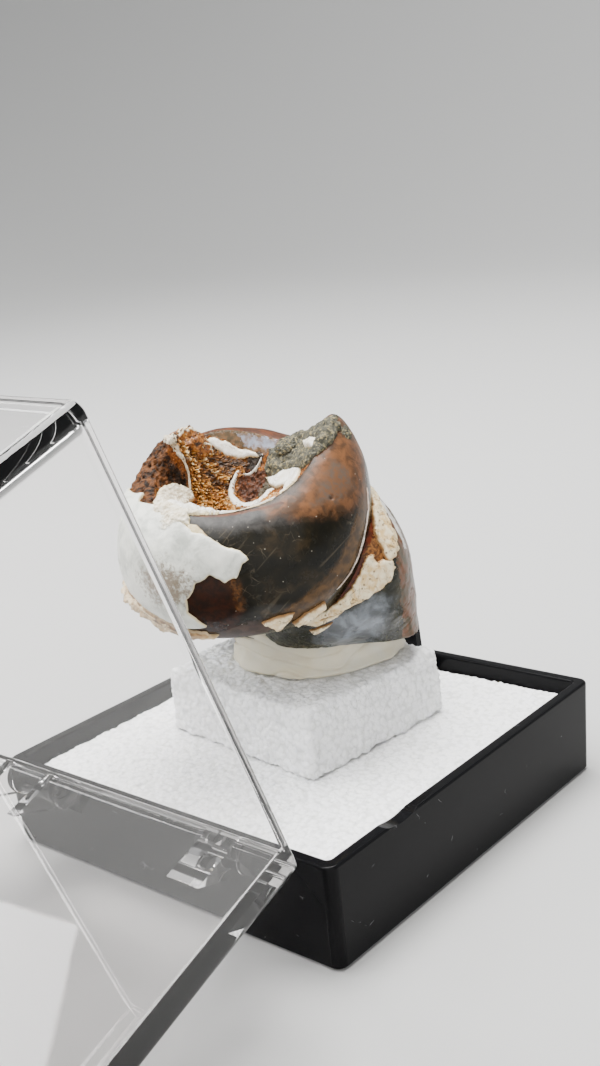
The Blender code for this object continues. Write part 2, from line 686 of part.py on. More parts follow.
def whorl_plate(outline, surface, lift):
    """A plate on a whorl, from (azimuth, reach) corners laid out flat at the mean girth."""
    across = math.radians(1) * MEAN_GIRTH
    start = outline[0][0]
    corners = []
    for azimuth, reach in outline:
        turned = (azimuth - start + 180) % 360 - 180 + start
        corners.append(Vector((turned * across, reach * MEAN_SECTION)))
    return wall_plate(corners, lambda place, offset: grown(
        surface, place.x / across, place.y / MEAN_SECTION, offset), lift)


def pit_point(x, y):
    """The pit's surface above a place across the axis, both in millimetres."""
    azimuth = math.degrees(math.atan2(y, x))
    rim, rim_height = section_at(UPPER_WHORL, azimuth)[:2]
    share = min(1.0, math.hypot(x, y) / rim) ** PIT_CURVE
    return Vector((x, y, PIT_FLOOR + (rim_height - PIT_FLOOR) * share)) * MM


def pit_plate(outline, lift):
    """A plate on the pit's wall, from its corners across the axis."""
    def place_on(place, offset):
        x, y = place / MM
        slope_x = pit_point(x + PIT_STEP, y) - pit_point(x - PIT_STEP, y)
        slope_y = pit_point(x, y + PIT_STEP) - pit_point(x, y - PIT_STEP)
        return pit_point(x, y) + slope_x.cross(slope_y).normalized() * offset
    return wall_plate([Vector(corner) * MM for corner in outline], place_on, lift)


def crescent_shape():
    """A curved ridge on the pit floor, thin at its ends."""
    centres = [pit_point(x, y) for x, y in CRESCENT]
    rings = []
    for i, centre in enumerate(centres):
        ahead = centres[min(i + 1, len(centres) - 1)] - centres[max(i - 1, 0)]
        side = Vector((-ahead.y, ahead.x, 0)).normalized()
        thin = CRESCENT_TIP if i in (0, len(centres) - 1) else 1.0
        ring = []
        for step in range(CRESCENT_SIDES):
            turn = 2 * math.pi * step / CRESCENT_SIDES
            spoke = side * math.cos(turn) + Vector((0, 0, CRESCENT_TALL * math.sin(turn)))
            ring.append(centre + CRESCENT_RADIUS * thin * spoke)
        rings.append(ring)
    return loft(rings)


def lump_shape(place, radii):
    """A rough rounded lump."""
    shape = bmesh.new()
    bmesh.ops.create_icosphere(shape, subdivisions=3, radius=1.0)
    for vert in shape.verts:
        sized = Vector([value * radius for value, radius in zip(vert.co, radii)]) * MM
        vert.co = roughened(sized + Vector(place) * MM, LUMP_ROUGHNESS, LUMP_GRAIN)
    return shape


def place_as_shell(thing):
    thing.location = SHELL_CENTRE
    thing.rotation_euler = SHELL_TILT


def fossil_shell(material):
    fossil = object_from("fossil_shell", upper_whorl_shape())
    combine(fossil, helper_from("lower_whorl", lower_whorl_shape()), "UNION")
    plates = {
        "white_patch": whorl_plate(WHITE_PATCH, upper_point, PATCH_LIFT),
        "torn_lip": whorl_plate(TORN_LIP, upper_point, LIP_LIFT),
        "suture_ledge": whorl_plate(SUTURE_LEDGE, lower_point, LEDGE_LIFT),
        "pit_triangle": pit_plate(PIT_TRIANGLE, PIT_LIFT),
        "rear_strip": pit_plate(REAR_STRIP, PIT_LIFT),
    }
    for name, shape in plates.items():
        combine(fossil, helper_from(name, shape), "UNION")
    for name, (place, radii) in LUMPS.items():
        combine(fossil, helper_from(name, lump_shape(place, radii)), "UNION")
    combine(fossil, helper_from("crescent", crescent_shape()), "UNION")
    weld = fossil.modifiers.new("weld", "WELD")
    weld.merge_threshold = WELD_GAP
    place_as_shell(fossil)
    finish(fossil, material, 40)
    return fossil


def putty(material):
    wad = object_from("putty", putty_shape())
    for name, shape in (("upper", upper_whorl_shape(CLEARANCE)), ("lower", lower_whorl_shape(CLEARANCE))):
        helper = helper_from(f"{name}_whorl_space", shape)
        place_as_shell(helper)
        combine(wad, helper, "DIFFERENCE")
    finish(wad, material)
    return wad


def main():
    clear_scene()
    box_base(make_material("black_plastic", BLACK, 0.12))
    lid(make_material("clear_plastic", CLEAR, 0.05))
    foam = make_material("white_foam", FOAM_WHITE, 0.9)
    foam_sheet(foam)
    foam_block(make_material("block_foam", FOAM_WHITE, 0.9))
    putty(make_material("putty", PUTTY_CREAM, 0.6))
    fossil_shell(make_material("fossil", SHELL_BROWN, 0.35))


main()
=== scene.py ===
"""A fossil snail shell in a hinged specimen box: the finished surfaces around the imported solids.

Places on the box are in metres in the solids' own frame. Places on the shell are in millimetres in the
shell's own axes, with Z along its coiling axis: an azimuth in degrees round that axis and a reach along
the whorl's section. Upper whorl: reach 0 is the pit floor, 1 the rim, 2 the girth, 3 the foot.
Lower whorl: 0 is the shoulder, 1 the girth, 2 the base.
"""

import math
import random

import bpy
import numpy as np
from bpy.props import FloatProperty, FloatVectorProperty, IntProperty, PointerProperty
from mathutils import Euler, Matrix, Vector, noise
from mathutils.geometry import delaunay_2d_cdt


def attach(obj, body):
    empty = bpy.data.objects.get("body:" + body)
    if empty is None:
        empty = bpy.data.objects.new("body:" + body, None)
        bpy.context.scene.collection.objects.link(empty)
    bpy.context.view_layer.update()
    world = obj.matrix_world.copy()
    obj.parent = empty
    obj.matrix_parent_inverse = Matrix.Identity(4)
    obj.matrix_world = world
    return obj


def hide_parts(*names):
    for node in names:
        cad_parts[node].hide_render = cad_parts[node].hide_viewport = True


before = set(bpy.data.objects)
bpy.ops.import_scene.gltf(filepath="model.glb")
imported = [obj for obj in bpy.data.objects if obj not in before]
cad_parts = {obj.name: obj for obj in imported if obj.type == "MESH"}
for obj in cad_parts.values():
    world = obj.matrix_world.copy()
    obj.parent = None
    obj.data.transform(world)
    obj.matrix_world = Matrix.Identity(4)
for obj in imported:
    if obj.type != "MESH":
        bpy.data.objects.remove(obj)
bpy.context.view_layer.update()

bl_info = {
    "name": "Fossil Snail Shell in a Specimen Box",
    "version": (1, 0, 0),
    "blender": (4, 5, 0),
    "location": "3D View > Sidebar > Fossil",
    "description": "Models a broken fossil snail shell on foam in a black box with a clear lid",
    "category": "Add Mesh",
}

MM = 0.001

# The two whorls, as in the solids. For each azimuth, in millimetres:
# rim radius and height, girth radius and height, foot radius and depth.
UPPER_WHORL = {
    0: (12.6, 12.0, 16.8, 4.1, 9.2, 10.2),
    20: (14.5, 11.6, 16.9, 4.4, 9.2, 9.7),
    32: (13.0, 9.3, 16.7, 3.5, 9.2, 9.3),
    45: (10.7, 8.0, 16.5, 1.9, 9.2, 8.8),
    66: (9.7, 9.0, 16.2, 0.8, 9.2, 8.3),
    90: (9.3, 10.0, 15.2, 0.0, 9.2, 8.0),
    115: (8.8, 10.4, 14.2, 0.0, 9.0, 7.8),
    138: (7.4, 12.3, 13.6, 0.0, 8.8, 7.8),
    150: (7.5, 11.6, 14.0, 0.0, 9.0, 7.8),
    165: (8.2, 9.6, 14.7, 0.0, 9.2, 7.8),
    180: (8.8, 9.0, 15.3, 0.0, 9.2, 7.7),
    225: (9.2, 8.7, 15.4, -0.2, 9.2, 7.7),
    270: (9.2, 8.4, 15.4, -0.4, 9.2, 7.7),
    315: (10.1, 9.2, 16.1, 0.6, 9.3, 8.6),
    340: (11.3, 10.9, 16.5, 2.7, 9.3, 9.7),
}
# Shoulder radius and height, girth radius and height, base radius.
LOWER_WHORL = {
    0: (11.7, 4.4, 20.5, -7.8, 20.0),
    30: (11.7, 3.4, 19.1, -8.8, 18.9),
    60: (11.2, 1.0, 17.5, -9.2, 16.9),
    90: (10.7, 0.0, 16.3, -9.7, 15.6),
    120: (10.2, -1.9, 14.8, -10.2, 13.9),
    150: (8.8, -3.9, 11.1, -10.7, 8.4),
    180: (6.8, -5.8, 3.2, -9.0, 1.5),
    225: (5.8, -6.3, 2.6, -8.5, 1.0),
    270: (6.8, -5.8, 3.6, -8.5, 1.2),
    300: (8.8, -3.9, 11.3, -7.8, 4.9),
    315: (9.7, -1.9, 15.4, -7.3, 6.8),
    325: (10.2, 0.0, 17.5, -7.8, 9.7),
    334: (10.7, 1.9, 19.3, -8.3, 16.1),
    342: (11.0, 2.9, 20.2, -8.2, 19.9),
}
# The pit's floor level and how its bowl curves, and the levels between which the lower whorl stands.
PIT_FLOOR, PIT_CURVE = 3.1, 1.7
LOWER_CORE, BASE_LEVEL = -2.0, -16.0
# The mean girth and section by which azimuths and reaches are laid out flat, and the width of one degree.
MEAN_GIRTH, MEAN_SECTION = 15.0, 12.0
ACROSS = math.radians(1) * MEAN_GIRTH
# Steps over which the surfaces' slopes are measured: in reach, degrees and millimetres.
REACH_STEP, TURN_STEP, PIT_STEP = 0.02, 1.0, 0.3
# Stain depths that are stored where a stain can't reach, and where it lies all round.
FAR_OUTSIDE, FAR_INSIDE = -9.0, 9.0
# Keeps a length that is divided by from being zero.
TINY = 1e-9

# Stains and worn areas of the stone cast, and one band of painted sheen, as corners (azimuth, reach).
UPPER_STAINS = {
    # grey_band_and_sheen: grey stone along the rim's outside, painted lighter as a highlight sheen.
    "grey_band_and_sheen": ((236, 1.04), (250, 1.05), (270, 1.07), (289, 1.14), (304, 1.24), (303, 1.42),
                  (286, 1.36), (269, 1.28), (250, 1.22), (238, 1.16)),
    "deep_brown": ((240, 1.95), (250, 1.76), (257, 1.66), (263, 1.7), (266, 1.86), (267.5, 2.06),
                   (265, 2.26), (256, 2.36), (240, 2.4), (236, 2.2)),
    "amber_streak": ((263.5, 1.64), (267.5, 1.7), (269, 1.85), (268.5, 2.05), (266.3, 2.06),
                     (265.8, 1.9), (264.5, 1.78)),
    "amber_band": ((275, 2.26), (288, 2.15), (300, 2.06), (312, 1.98), (324, 1.87), (336, 1.8),
                   (346, 1.78), (350, 1.9), (337, 2.0), (327, 2.1), (315, 2.2), (304, 2.32),
                   (291, 2.38), (276, 2.5)),
    "mauve_edge": ((240, 2.3), (250, 2.27), (261, 2.25), (275, 2.25), (279, 2.35), (276, 2.55),
                   (262, 2.65), (246, 2.6), (236, 2.5)),
    "salmon": ((290, 1.07), (307, 1.1), (319, 1.1), (334, 1.04), (350, 1.0), (2, 1.0), (12, 1.1),
               (24, 1.3), (22, 1.55), (8, 1.7), (352, 1.78), (345, 1.86), (332, 1.74), (320, 1.56),
               (305, 1.4), (292, 1.25)),
    "shoulder_grey": ((328, 1.24), (340, 1.26), (343, 1.45), (338, 1.62), (326, 1.56), (314, 1.38)),
    "porous": ((212, 0.84), (212, 1.25), (192, 1.52), (160, 1.58), (130, 1.52), (110, 1.4),
               (112, 1.02), (122, 0.9), (140, 0.74), (160, 0.68), (185, 0.8)),
    "rear_rim": ((18, 0.96), (60, 0.96), (100, 0.98), (114, 1.0), (112, 1.35), (80, 1.45),
                 (40, 1.45), (22, 1.3)),
    "rim_line": ((238, 1.0), (262, 1.015), (285, 1.05), (303, 1.12), (303, 1.165), (285, 1.1),
                 (262, 1.06), (238, 1.045)),
    "cream_line": ((212, 0.9), (240, 0.93), (262, 0.945), (285, 0.95), (300, 0.97), (301, 1.03),
                   (285, 1.02), (262, 1.0), (240, 1.0), (214, 1.02)),
}
# Stains of the pit, and two patches of painted shade, as places (x, y) across the coiling axis.
PIT_STAINS = {
    "porous_wall": ((-7.2, 5.6), (-6.4, 4.7), (-5.5, 3.8), (-4.7, 3.4), (-4.75, 2.5), (-4.8, 1.9),
                    (-5.1, 1.4), (-6.2, 0.4), (-9.6, -0.8), (-10.4, 2.0), (-9.0, 5.0)),
    "rust_wall": ((-7.4, 4.5), (-6.5, 4.4), (-5.6, 3.6), (-4.9, 3.3), (-4.9, 2.7), (-5.8, 2.9),
                  (-7.2, 3.6)),
    # undercut_shade: a near-black patch painted where the golden flap's undercut casts shade.
    "undercut_shade": ((-6.8, 3.1), (-5.9, 2.8), (-5.1, 2.4), (-4.95, 1.7), (-5.4, 1.5), (-6.0, 2.1),
                (-6.9, 2.7)),
    "red_brown": ((-2.2, 8.6), (0.2, 8.2), (1.2, 6.9), (1.8, 5.7), (0.2, 4.7), (-1.0, 5.6), (-1.9, 7.2)),
    "rust_core": ((1.0, 6.8), (2.4, 6.4), (2.4, 5.6), (4.4, 5.2), (5.0, 6.6), (4.6, 3.8), (3.4, 2.4),
                  (1.6, 1.8), (0.8, 3.0), (1.0, 5.2)),
    "core_grey": ((3.0, 1.4), (4.2, 1.5), (5.2, 2.6), (5.4, 4.4), (4.6, 4.8), (3.9, 3.4), (3.0, 2.3)),
    "rear_wall": ((-2.4, 8.9), (0.0, 9.6), (3.6, 9.4), (7.0, 8.2), (8.4, 6.8), (6.8, 6.6), (4.0, 7.2),
                  (1.8, 7.9), (0.0, 8.5)),
    # hollow: a near-black patch painted as the shade in the hollow behind the thin wall.
    "hollow": ((2.6, 7.0), (4.0, 7.2), (4.7, 6.9), (4.2, 6.0), (2.8, 5.3), (2.3, 5.8)),
    "nacre": ((1.8, 8.9), (4.0, 8.7), (6.4, 7.9), (6.6, 6.9), (4.5, 7.4), (2.5, 7.9)),
    "amber": ((3.6, 0.8), (5.6, -1.2), (7.0, -5.0), (5.0, -8.0), (3.2, -5.0), (2.8, -1.0)),
}
LOWER_STAINS = {
    "groove": ((304, 0.0), (330, 0.0), (0, 0.0), (16, 0.05), (16, 0.4), (350, 0.46), (336, 0.5),
               (320, 0.66), (307, 0.86), (304, 0.6)),
    "rust_band": ((349, 0.56), (344, 0.64), (339, 0.78), (336, 1.0), (337.5, 1.5), (338, 2.0), (4, 2.0),
                  (16, 1.5), (18, 0.7), (6, 0.5)),
    # nacre_and_sheen: dark nacre, painted silvery-grey in patches as a reflected sheen.
    "nacre_and_sheen": ((305, 1.0), (313, 0.95), (326, 0.85), (331, 0.95), (330, 1.3), (329, 1.7),
                   (316, 1.75), (308, 1.4)),
    "gap_rust": ((340, 0.46), (341, 0.54), (338, 0.62), (334, 0.62), (330.5, 0.55), (331, 0.47)),
    "white_sliver": ((6, 0.44), (359, 0.5), (355, 0.57), (351.5, 0.66), (350.5, 0.8), (353.5, 0.8),
                     (356, 0.66), (2, 0.53), (8, 0.47)),
    "shell_side": ((22, 0.42), (36, 0.38), (48, 0.55), (62, 0.5), (69, 0.78), (80, 0.95), (72, 1.2),
                   (75, 1.5), (60, 1.62), (50, 1.5), (38, 1.72), (31, 1.4), (24, 1.25), (29, 0.9)),
}

# Pieces of shell wall left on the cast.
WHITE_PATCH = (
    (165, 1.45), (176, 1.31), (184, 1.22), (188.5, 1.13), (190.5, 1.12), (193, 1.17), (197, 1.19),
    (203, 1.14), (209, 1.09), (216, 1.1), (226, 1.1), (234, 1.13), (237, 1.15), (242, 1.2),
    (248, 1.28), (253, 1.3), (258, 1.35), (265, 1.45), (272, 1.5), (275, 1.6), (272, 1.62),
    (268, 1.74), (263, 1.75), (257, 1.7), (250, 1.76), (248, 1.84), (244.5, 1.92), (244, 2.05),
    (251, 2.23), (240, 2.3), (230, 2.26), (216, 2.2), (195, 2.15), (172, 2.0), (160, 1.6),
)
CRUMBLY_CORNER = (
    (207, 1.06), (201, 0.99), (190, 0.95), (176, 0.9), (167, 0.83), (162, 0.74), (160, 0.62), (166, 0.56),
    (185, 0.6), (208, 0.7), (228, 0.82), (246, 0.92), (262, 0.955), (262, 1.0), (250, 1.01), (241, 1.05),
    (243, 1.12), (245, 1.2), (238, 1.22), (227, 1.18), (215, 1.17),
)
WORN_EDGE = ((243, 1.19), (249, 1.19), (253, 1.26), (257, 1.33), (254, 1.37), (248, 1.34), (244, 1.27))
TORN_LIP = (
    (172, 2.28), (200, 2.15), (213, 2.2), (228, 2.3), (249, 2.36), (250, 2.46), (235, 2.56),
    (210, 2.5), (185, 2.46),
)
SUTURE_PLATES = {
    "suture_plate_upper": (
        (14, 0.36), (1.5, 0.36), (355, 0.37), (348, 0.39), (341, 0.44), (338.5, 0.5), (338, 0.56),
        (336.5, 0.63), (338, 0.68), (343, 0.69), (347, 0.64), (351, 0.54), (357, 0.46), (6, 0.42),
    ),
    "suture_plate_lower": (
        (332, 0.5), (326, 0.57), (319, 0.66), (311, 0.77), (300, 0.9), (299, 1.0), (305, 0.98), (308, 0.93),
        (316, 0.87), (322, 0.83), (328, 0.81), (334, 0.79), (338, 0.74), (338.5, 0.69), (335.5, 0.61),
        (333, 0.6), (334, 0.54),
    ),
}
# Splinters of wall below the plates, each with the whorl that it lies on.
SPLINTERS = {
    "lower_splinter_front": (
        "upper", ((275, 2.26), (282, 2.22), (290, 2.24), (286, 2.36), (281, 2.48), (279, 2.36))),
    "lower_splinter_middle": (
        "upper", ((289, 2.42), (295, 2.32), (305, 2.28), (306, 2.36), (300, 2.47), (292, 2.5))),
    "lower_splinter_rear": ("lower", ((301, 1.0), (307, 0.93), (315, 0.88), (313, 0.95), (306, 1.04))),
    "lower_splinter_foot": ("lower", ((303, 1.12), (311, 1.03), (309, 1.11), (305, 1.2))),
}
# Leaves of the torn lip: azimuths, and the reach and height of the leaf at each.
LIP_LEAVES = (
    ((172, 188, 206, 222, 240, 254), (2.44, 2.45, 2.45, 2.47, 2.46, 2.42), (1.1, 1.2, 1.0, 0.75, 0.6, 0.4)),
    ((174, 188, 204, 218, 230, 244), (2.34, 2.33, 2.31, 2.36, 2.38, 2.4), (1.35, 1.4, 1.25, 0.9, 0.65, 0.4)),
    ((180, 192, 204, 212, 220, 228), (2.24, 2.21, 2.2, 2.24, 2.29, 2.33), (1.0, 1.25, 1.1, 0.9, 0.7, 0.4)),
)

# Walls and stone in the pit, as places (x, y) across the coiling axis.
PIT_TRIANGLE = (
    (4.4, 4.3), (5.6, 3.8), (7.0, 3.6), (8.2, 1.5), (8.9, -2.0), (8.0, -5.6), (5.9, -7.3), (6.4, -4.2),
    (6.7, -1.5), (5.5, 0.9),
)
REAR_STRIP = (
    (-2.2, 8.3), (-1.2, 8.6), (0.1, 8.4), (1.8, 7.7), (3.7, 7.2), (4.0, 6.7), (1.7, 6.8), (0.0, 7.1),
    (-1.2, 7.7),
)
SANDY_STONE = (
    (4.6, 4.6), (4.9, 6.7), (6.4, 7.4), (8.2, 7.9), (9.9, 7.3), (11.4, 6.6), (12.8, 4.6), (14.0, 2.6),
    (14.2, 0.4), (13.0, -2.2), (11.6, -3.6), (10.2, -3.9), (9.2, -3.2), (8.7, -1.0), (7.6, 2.4),
    (6.8, 3.4), (5.4, 3.9),
)
WHITE_CHIP = (
    (10.2, 4.1), (10.9, 3.4), (11.3, 2.0), (11.7, 0.0), (11.7, -1.8), (11.1, -2.9), (10.7, -1.6),
    (10.5, 0.2), (10.2, 2.2),
)
CRESCENT = (
    (1.4, 5.7), (0.8, 5.1), (0.2, 4.3), (-0.1, 3.4), (-0.05, 2.5), (0.5, 1.6), (1.3, 0.95), (2.3, 0.6),
    (3.4, 0.5), (4.4, 0.85), (5.1, 1.5),
)
THIN_WALL = ((4.5, 6.9), (4.1, 6.3), (3.5, 5.7), (2.9, 5.25), (2.2, 5.05), (1.6, 5.4), (1.4, 5.7))
FLAP_EDGE = ((-6.8, 5.4), (-6.4, 4.9), (-5.7, 4.0), (-4.9, 3.5), (-4.65, 2.8), (-4.75, 2.2), (-4.8, 1.7))
GOLD_AREA = (
    (-4.7, 1.7), (-4.6, 2.6), (-4.4, 3.4), (-5.3, 4.0), (-6.4, 5.0), (-6.2, 6.0), (-5.2, 7.4),
    (-3.6, 8.6), (-2.2, 8.2), (-1.2, 6.2), (0.2, 5.0), (0.0, 3.4), (0.0, 2.2), (0.9, 1.2), (2.6, 0.2),
    (4.0, -3.0), (2.0, -6.8), (-2.8, -6.9), (-4.4, -5.2), (-5.0, -2.6), (-4.4, -0.4), (-4.2, 1.4),
)
BROWN_AREA = ((-2.2, 8.4), (0.2, 8.0), (1.4, 6.9), (2.4, 6.2), (1.6, 5.2), (0.2, 4.7), (-1.2, 5.8))
AMBER_AREA = ((3.4, 0.8), (4.8, 0.6), (5.6, -1.4), (6.2, -3.4), (5.0, -6.4), (3.6, -3.6))
# Where crystals grow: the area, its share of them, their darkest and lightest shade, and their height.
CRYSTAL_AREAS = (
    (GOLD_AREA, 0.6, 0.0, 1.0, 0.9),
    (BROWN_AREA, 0.09, 0.05, 0.68, 0.7),
    (AMBER_AREA, 0.12, 0.45, 0.82, 0.9),
)
FLAP_CRYSTALS = (0.3, 0.05, 1.0, 0.75)
# The golden flap that stands on the rim: corners in millimetres across and up its own plane.
FLAP = (
    (0.0, 2.2), (0.4, 2.6), (0.9, 2.45), (1.5, 2.9), (2.0, 2.65), (2.6, 3.0), (3.2, 2.75), (3.8, 2.85),
    (4.2, 2.05), (4.7, 1.5), (4.9, 0.5), (5.5, -0.3), (5.6, -1.4), (5.4, -2.6), (4.0, -3.7), (2.4, -3.9),
    (1.7, -4.5), (1.6, -2.4), (1.1, -1.1), (0.1, 0.3), (-0.3, 1.3),
)
FLAP_PLACE = np.array((-6.5, 4.7, 9.5))
FLAP_ACROSS = np.array((0.85, 0.526, 0.0))
FLAP_UP = np.array((-0.061, 0.099, 0.993))
FLAP_FACING = np.cross(FLAP_ACROSS, FLAP_UP)
# Lumps of stone and crust: place, and radii across and along the axis.
CRUST_LUMP = ("golden_rim_crust", (-4.6, 6.9, 10.5), (2.4, 1.6, 1.4))
STONE_LUMPS = (
    ("peak_stone", (12.9, 1.6, 10.3), (2.6, 3.4, 1.6)),
    ("break_stone", (8.6, 6.6, 7.2), (2.6, 1.9, 1.3)),
)


# Properties

def length(name, description, value):
    return FloatProperty(name=name, description=description, default=value, unit="LENGTH", precision=5)


def colour(name, description, value):
    return FloatVectorProperty(
        name=name, description=description, default=value, size=3, subtype="COLOR", min=0.0, max=1.0)


class BoxProperties(bpy.types.PropertyGroup):
    tray_colour: colour("Tray", "Colour of the black tray", (0.0045, 0.0045, 0.005))
    lid_colour: colour("Lid", "Tint of the clear lid", (0.985, 0.972, 0.968))
    foam_colour: colour("Foam", "Colour of the foam", (0.95, 0.953, 0.957))
    putty_colour: colour("Putty", "Colour of the mounting putty", (0.66, 0.63, 0.53))
    foam_cell: length("Foam cell", "Spacing of the foam's surface points", 0.00022)
    foam_grain: length("Foam grain", "Size of the foam's grains", 0.00075)


class SpecimenProperties(bpy.types.PropertyGroup):
    centre: FloatVectorProperty(
        name="Centre", description="Where the shell's coiling axis meets its middle level",
        default=(-0.0030, -0.0037, 0.0376), subtype="TRANSLATION", unit="LENGTH")
    tilt: FloatVectorProperty(
        name="Tilt", description="How the shell is turned on its putty", subtype="EULER", unit="ROTATION",
        default=tuple(math.radians(angle) for angle in (13.84, -3.63, 42.91)))
    cut_level: length("Cut level", "Height at which the shell's underside is sawn flat", 0.0228)
    wall_lift: length("Wall lift", "How far the shell wall stands out of the cast", 0.0004)
    upper_columns: IntProperty(name="Columns", description="Points round the upper whorl", default=480)
    crystals: IntProperty(name="Crystals", description="Crystals in the pit", default=6400)
    seed: IntProperty(name="Seed", description="Seed of the crystals' places", default=7)


class StageProperties(bpy.types.PropertyGroup):
    camera: FloatVectorProperty(
        name="Camera", description="The camera's place", default=(0.10596, -0.11417, 0.08185),
        subtype="TRANSLATION", unit="LENGTH")
    aim: FloatVectorProperty(
        name="View direction", description="The way the camera looks",
        default=(-0.6411, 0.7155, -0.2777), subtype="DIRECTION")
    upright: FloatVectorProperty(
        name="Up direction", description="The direction that is up in the picture",
        default=(-0.1035, 0.2780, 0.9550), subtype="DIRECTION")
    lens: FloatProperty(name="Lens", description="Focal length in millimetres", default=44.37)
    floor_colour: colour("Floor", "Colour of the floor", (0.43, 0.43, 0.425))


def box_settings():
    return bpy.context.scene.fossil_box


def specimen_settings():
    return bpy.context.scene.fossil_specimen


# Modelling helpers

def deselect():
    if bpy.context.object and bpy.context.object.mode != "OBJECT":
        bpy.ops.object.mode_set(mode="OBJECT")
    bpy.ops.object.select_all(action="DESELECT")


def select_only(piece):
    deselect()
    piece.select_set(True)
    bpy.context.view_layer.objects.active = piece


def add_modifier(piece, kind, **values):
    modifier = piece.modifiers.new(kind.lower(), kind)
    for name, value in values.items():
        setattr(modifier, name, value)
    return modifier


def apply_modifiers(piece):
    select_only(piece)
    for modifier in list(piece.modifiers):
        bpy.ops.object.modifier_apply(modifier=modifier.name)


def bumps(name, kind, size):
    """A procedural texture for a Displace modifier, with features about `size` across."""
    texture = bpy.data.textures.new(name, kind)
    texture.noise_scale = size
    return texture


def finish_piece(piece, name, material, body, *replaced):
    """Names a piece, puts its place into its mesh, and lets it ride on its body."""
    select_only(piece)
    bpy.ops.object.transform_apply(location=True, rotation=True, scale=True)
    piece.name = name
    piece.data.name = name
    piece.data.materials.clear()
    piece.data.materials.append(material)
    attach(piece, body)
    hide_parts(*replaced)
    return piece


def face_outwards(piece):
    select_only(piece)
    bpy.ops.object.mode_set(mode="EDIT")
    bpy.ops.mesh.select_all(action="SELECT")
    bpy.ops.mesh.normals_make_consistent(inside=False)
    bpy.ops.object.mode_set(mode="OBJECT")


def store(piece, name, values):
    attribute = piece.data.attributes.new(name, "FLOAT", "POINT")
    attribute.data.foreach_set("value", np.asarray(values, np.float32))


def mesh_piece(points, faces, attributes=None):
    """A smooth mesh object from points in metres, with its faces turned outwards."""
    mesh = bpy.data.meshes.new("piece")
    mesh.from_pydata(points.tolist(), [], faces)
    mesh.validate()
    mesh.shade_smooth()
    piece = bpy.data.objects.new("piece", mesh)
    bpy.context.scene.collection.objects.link(piece)
    for name, values in (attributes or {}).items():
        store(piece, name, values)
    face_outwards(piece)
    return piece


def smooth_noise(points, size, octaves=1):
    """Fractal noise from -1 to 1 at points, with features about `size` across, in the points' unit."""
    return np.array([
        noise.fractal(Vector(point), 1.0, 2.0, octaves) if octaves > 1 else noise.noise(Vector(point))
        for point in points / size
    ])


def cell_noise(points, size):
    """Distance to the nearest of scattered seeds, about 0 at a seed and 1 between them."""
    return np.array([noise.voronoi(Vector(point))[0][0] for point in points / size])


def ease(values, low, high):
    """0 below low, 1 above high, smooth between."""
    share = np.clip((values - low) / (high - low), 0.0, 1.0)
    return share * share * (3 - 2 * share)


# The shell's form

def sections(table, azimuths):
    """Whorl sections at azimuths, on a smooth closed curve through the given ones."""
    stations = np.array(sorted(table))
    known = np.array([table[station] for station in stations], float)
    azimuths = np.asarray(azimuths, float) % 360
    after = np.searchsorted(stations, azimuths, side="right")
    turns, index = np.divmod(after[:, None] + np.array([-2, -1, 0, 1]), len(stations))
    place = stations[index] + 360.0 * turns
    before, start, end, later = (known[index[:, i]] for i in range(4))
    span = (place[:, 2] - place[:, 1])[:, None]
    t = (azimuths - place[:, 1])[:, None] / span
    leave = (end - before) / (place[:, 2] - place[:, 0])[:, None] * span
    arrive = (later - start) / (place[:, 3] - place[:, 1])[:, None] * span
    return (
        (2 * t**3 - 3 * t**2 + 1) * start + (t**3 - 2 * t**2 + t) * leave
        + (3 * t**2 - 2 * t**3) * end + (t**3 - t**2) * arrive
    )


def polar(azimuths, radii, heights):
    turns = np.radians(azimuths)
    return np.stack([radii * np.cos(turns), radii * np.sin(turns), heights], axis=1)


def upper_points(azimuths, reaches):
    rim, rim_height, girth, girth_height, foot, depth = sections(UPPER_WHORL, azimuths).T
    reaches = np.asarray(reaches, float)
    pit_height = PIT_FLOOR + (rim_height - PIT_FLOOR) * np.clip(reaches, 0, 1) ** PIT_CURVE
    bend = (np.clip(reaches, 1, 2) - 1) * math.pi / 2
    side = rim + (girth - rim) * np.sin(bend)
    side_height = girth_height + (rim_height - girth_height) * np.cos(bend)
    under_bend = (np.clip(reaches, 2, 3) - 2) * math.pi / 2
    under = foot + (girth - foot) * np.cos(under_bend)
    under_height = girth_height - (girth_height + depth) * np.sin(under_bend)
    radii = np.where(reaches <= 1, rim * reaches, np.where(reaches <= 2, side, under))
    heights = np.where(reaches <= 1, pit_height, np.where(reaches <= 2, side_height, under_height))
    return polar(azimuths, radii, heights)


def lower_points(azimuths, reaches):
    shoulder, shoulder_height, girth, girth_height, base = sections(LOWER_WHORL, azimuths).T
    reaches = np.asarray(reaches, float)
    bend = np.clip(reaches, 0, 1) * math.pi / 2
    side = shoulder + (girth - shoulder) * np.sin(bend)
    side_height = girth_height + (shoulder_height - girth_height) * np.cos(bend)
    drop = np.clip(reaches - 1, 0, None)
    radii = np.where(reaches <= 1, side, girth + (base - girth) * drop**2)
    heights = np.where(reaches <= 1, side_height, girth_height + (BASE_LEVEL - girth_height) * drop)
    return polar(azimuths, radii, heights)


def pit_points(x, y):
    azimuths = np.degrees(np.arctan2(y, x))
    rim, rim_height = sections(UPPER_WHORL, azimuths)[:, :2].T
    share = np.minimum(1.0, np.hypot(x, y) / rim) ** PIT_CURVE
    return np.stack([x, y, PIT_FLOOR + (rim_height - PIT_FLOOR) * share], axis=1)


def slopes_to_normals(along, down):
    across = np.cross(down, along)
    return across / (np.linalg.norm(across, axis=1)[:, None] + TINY)


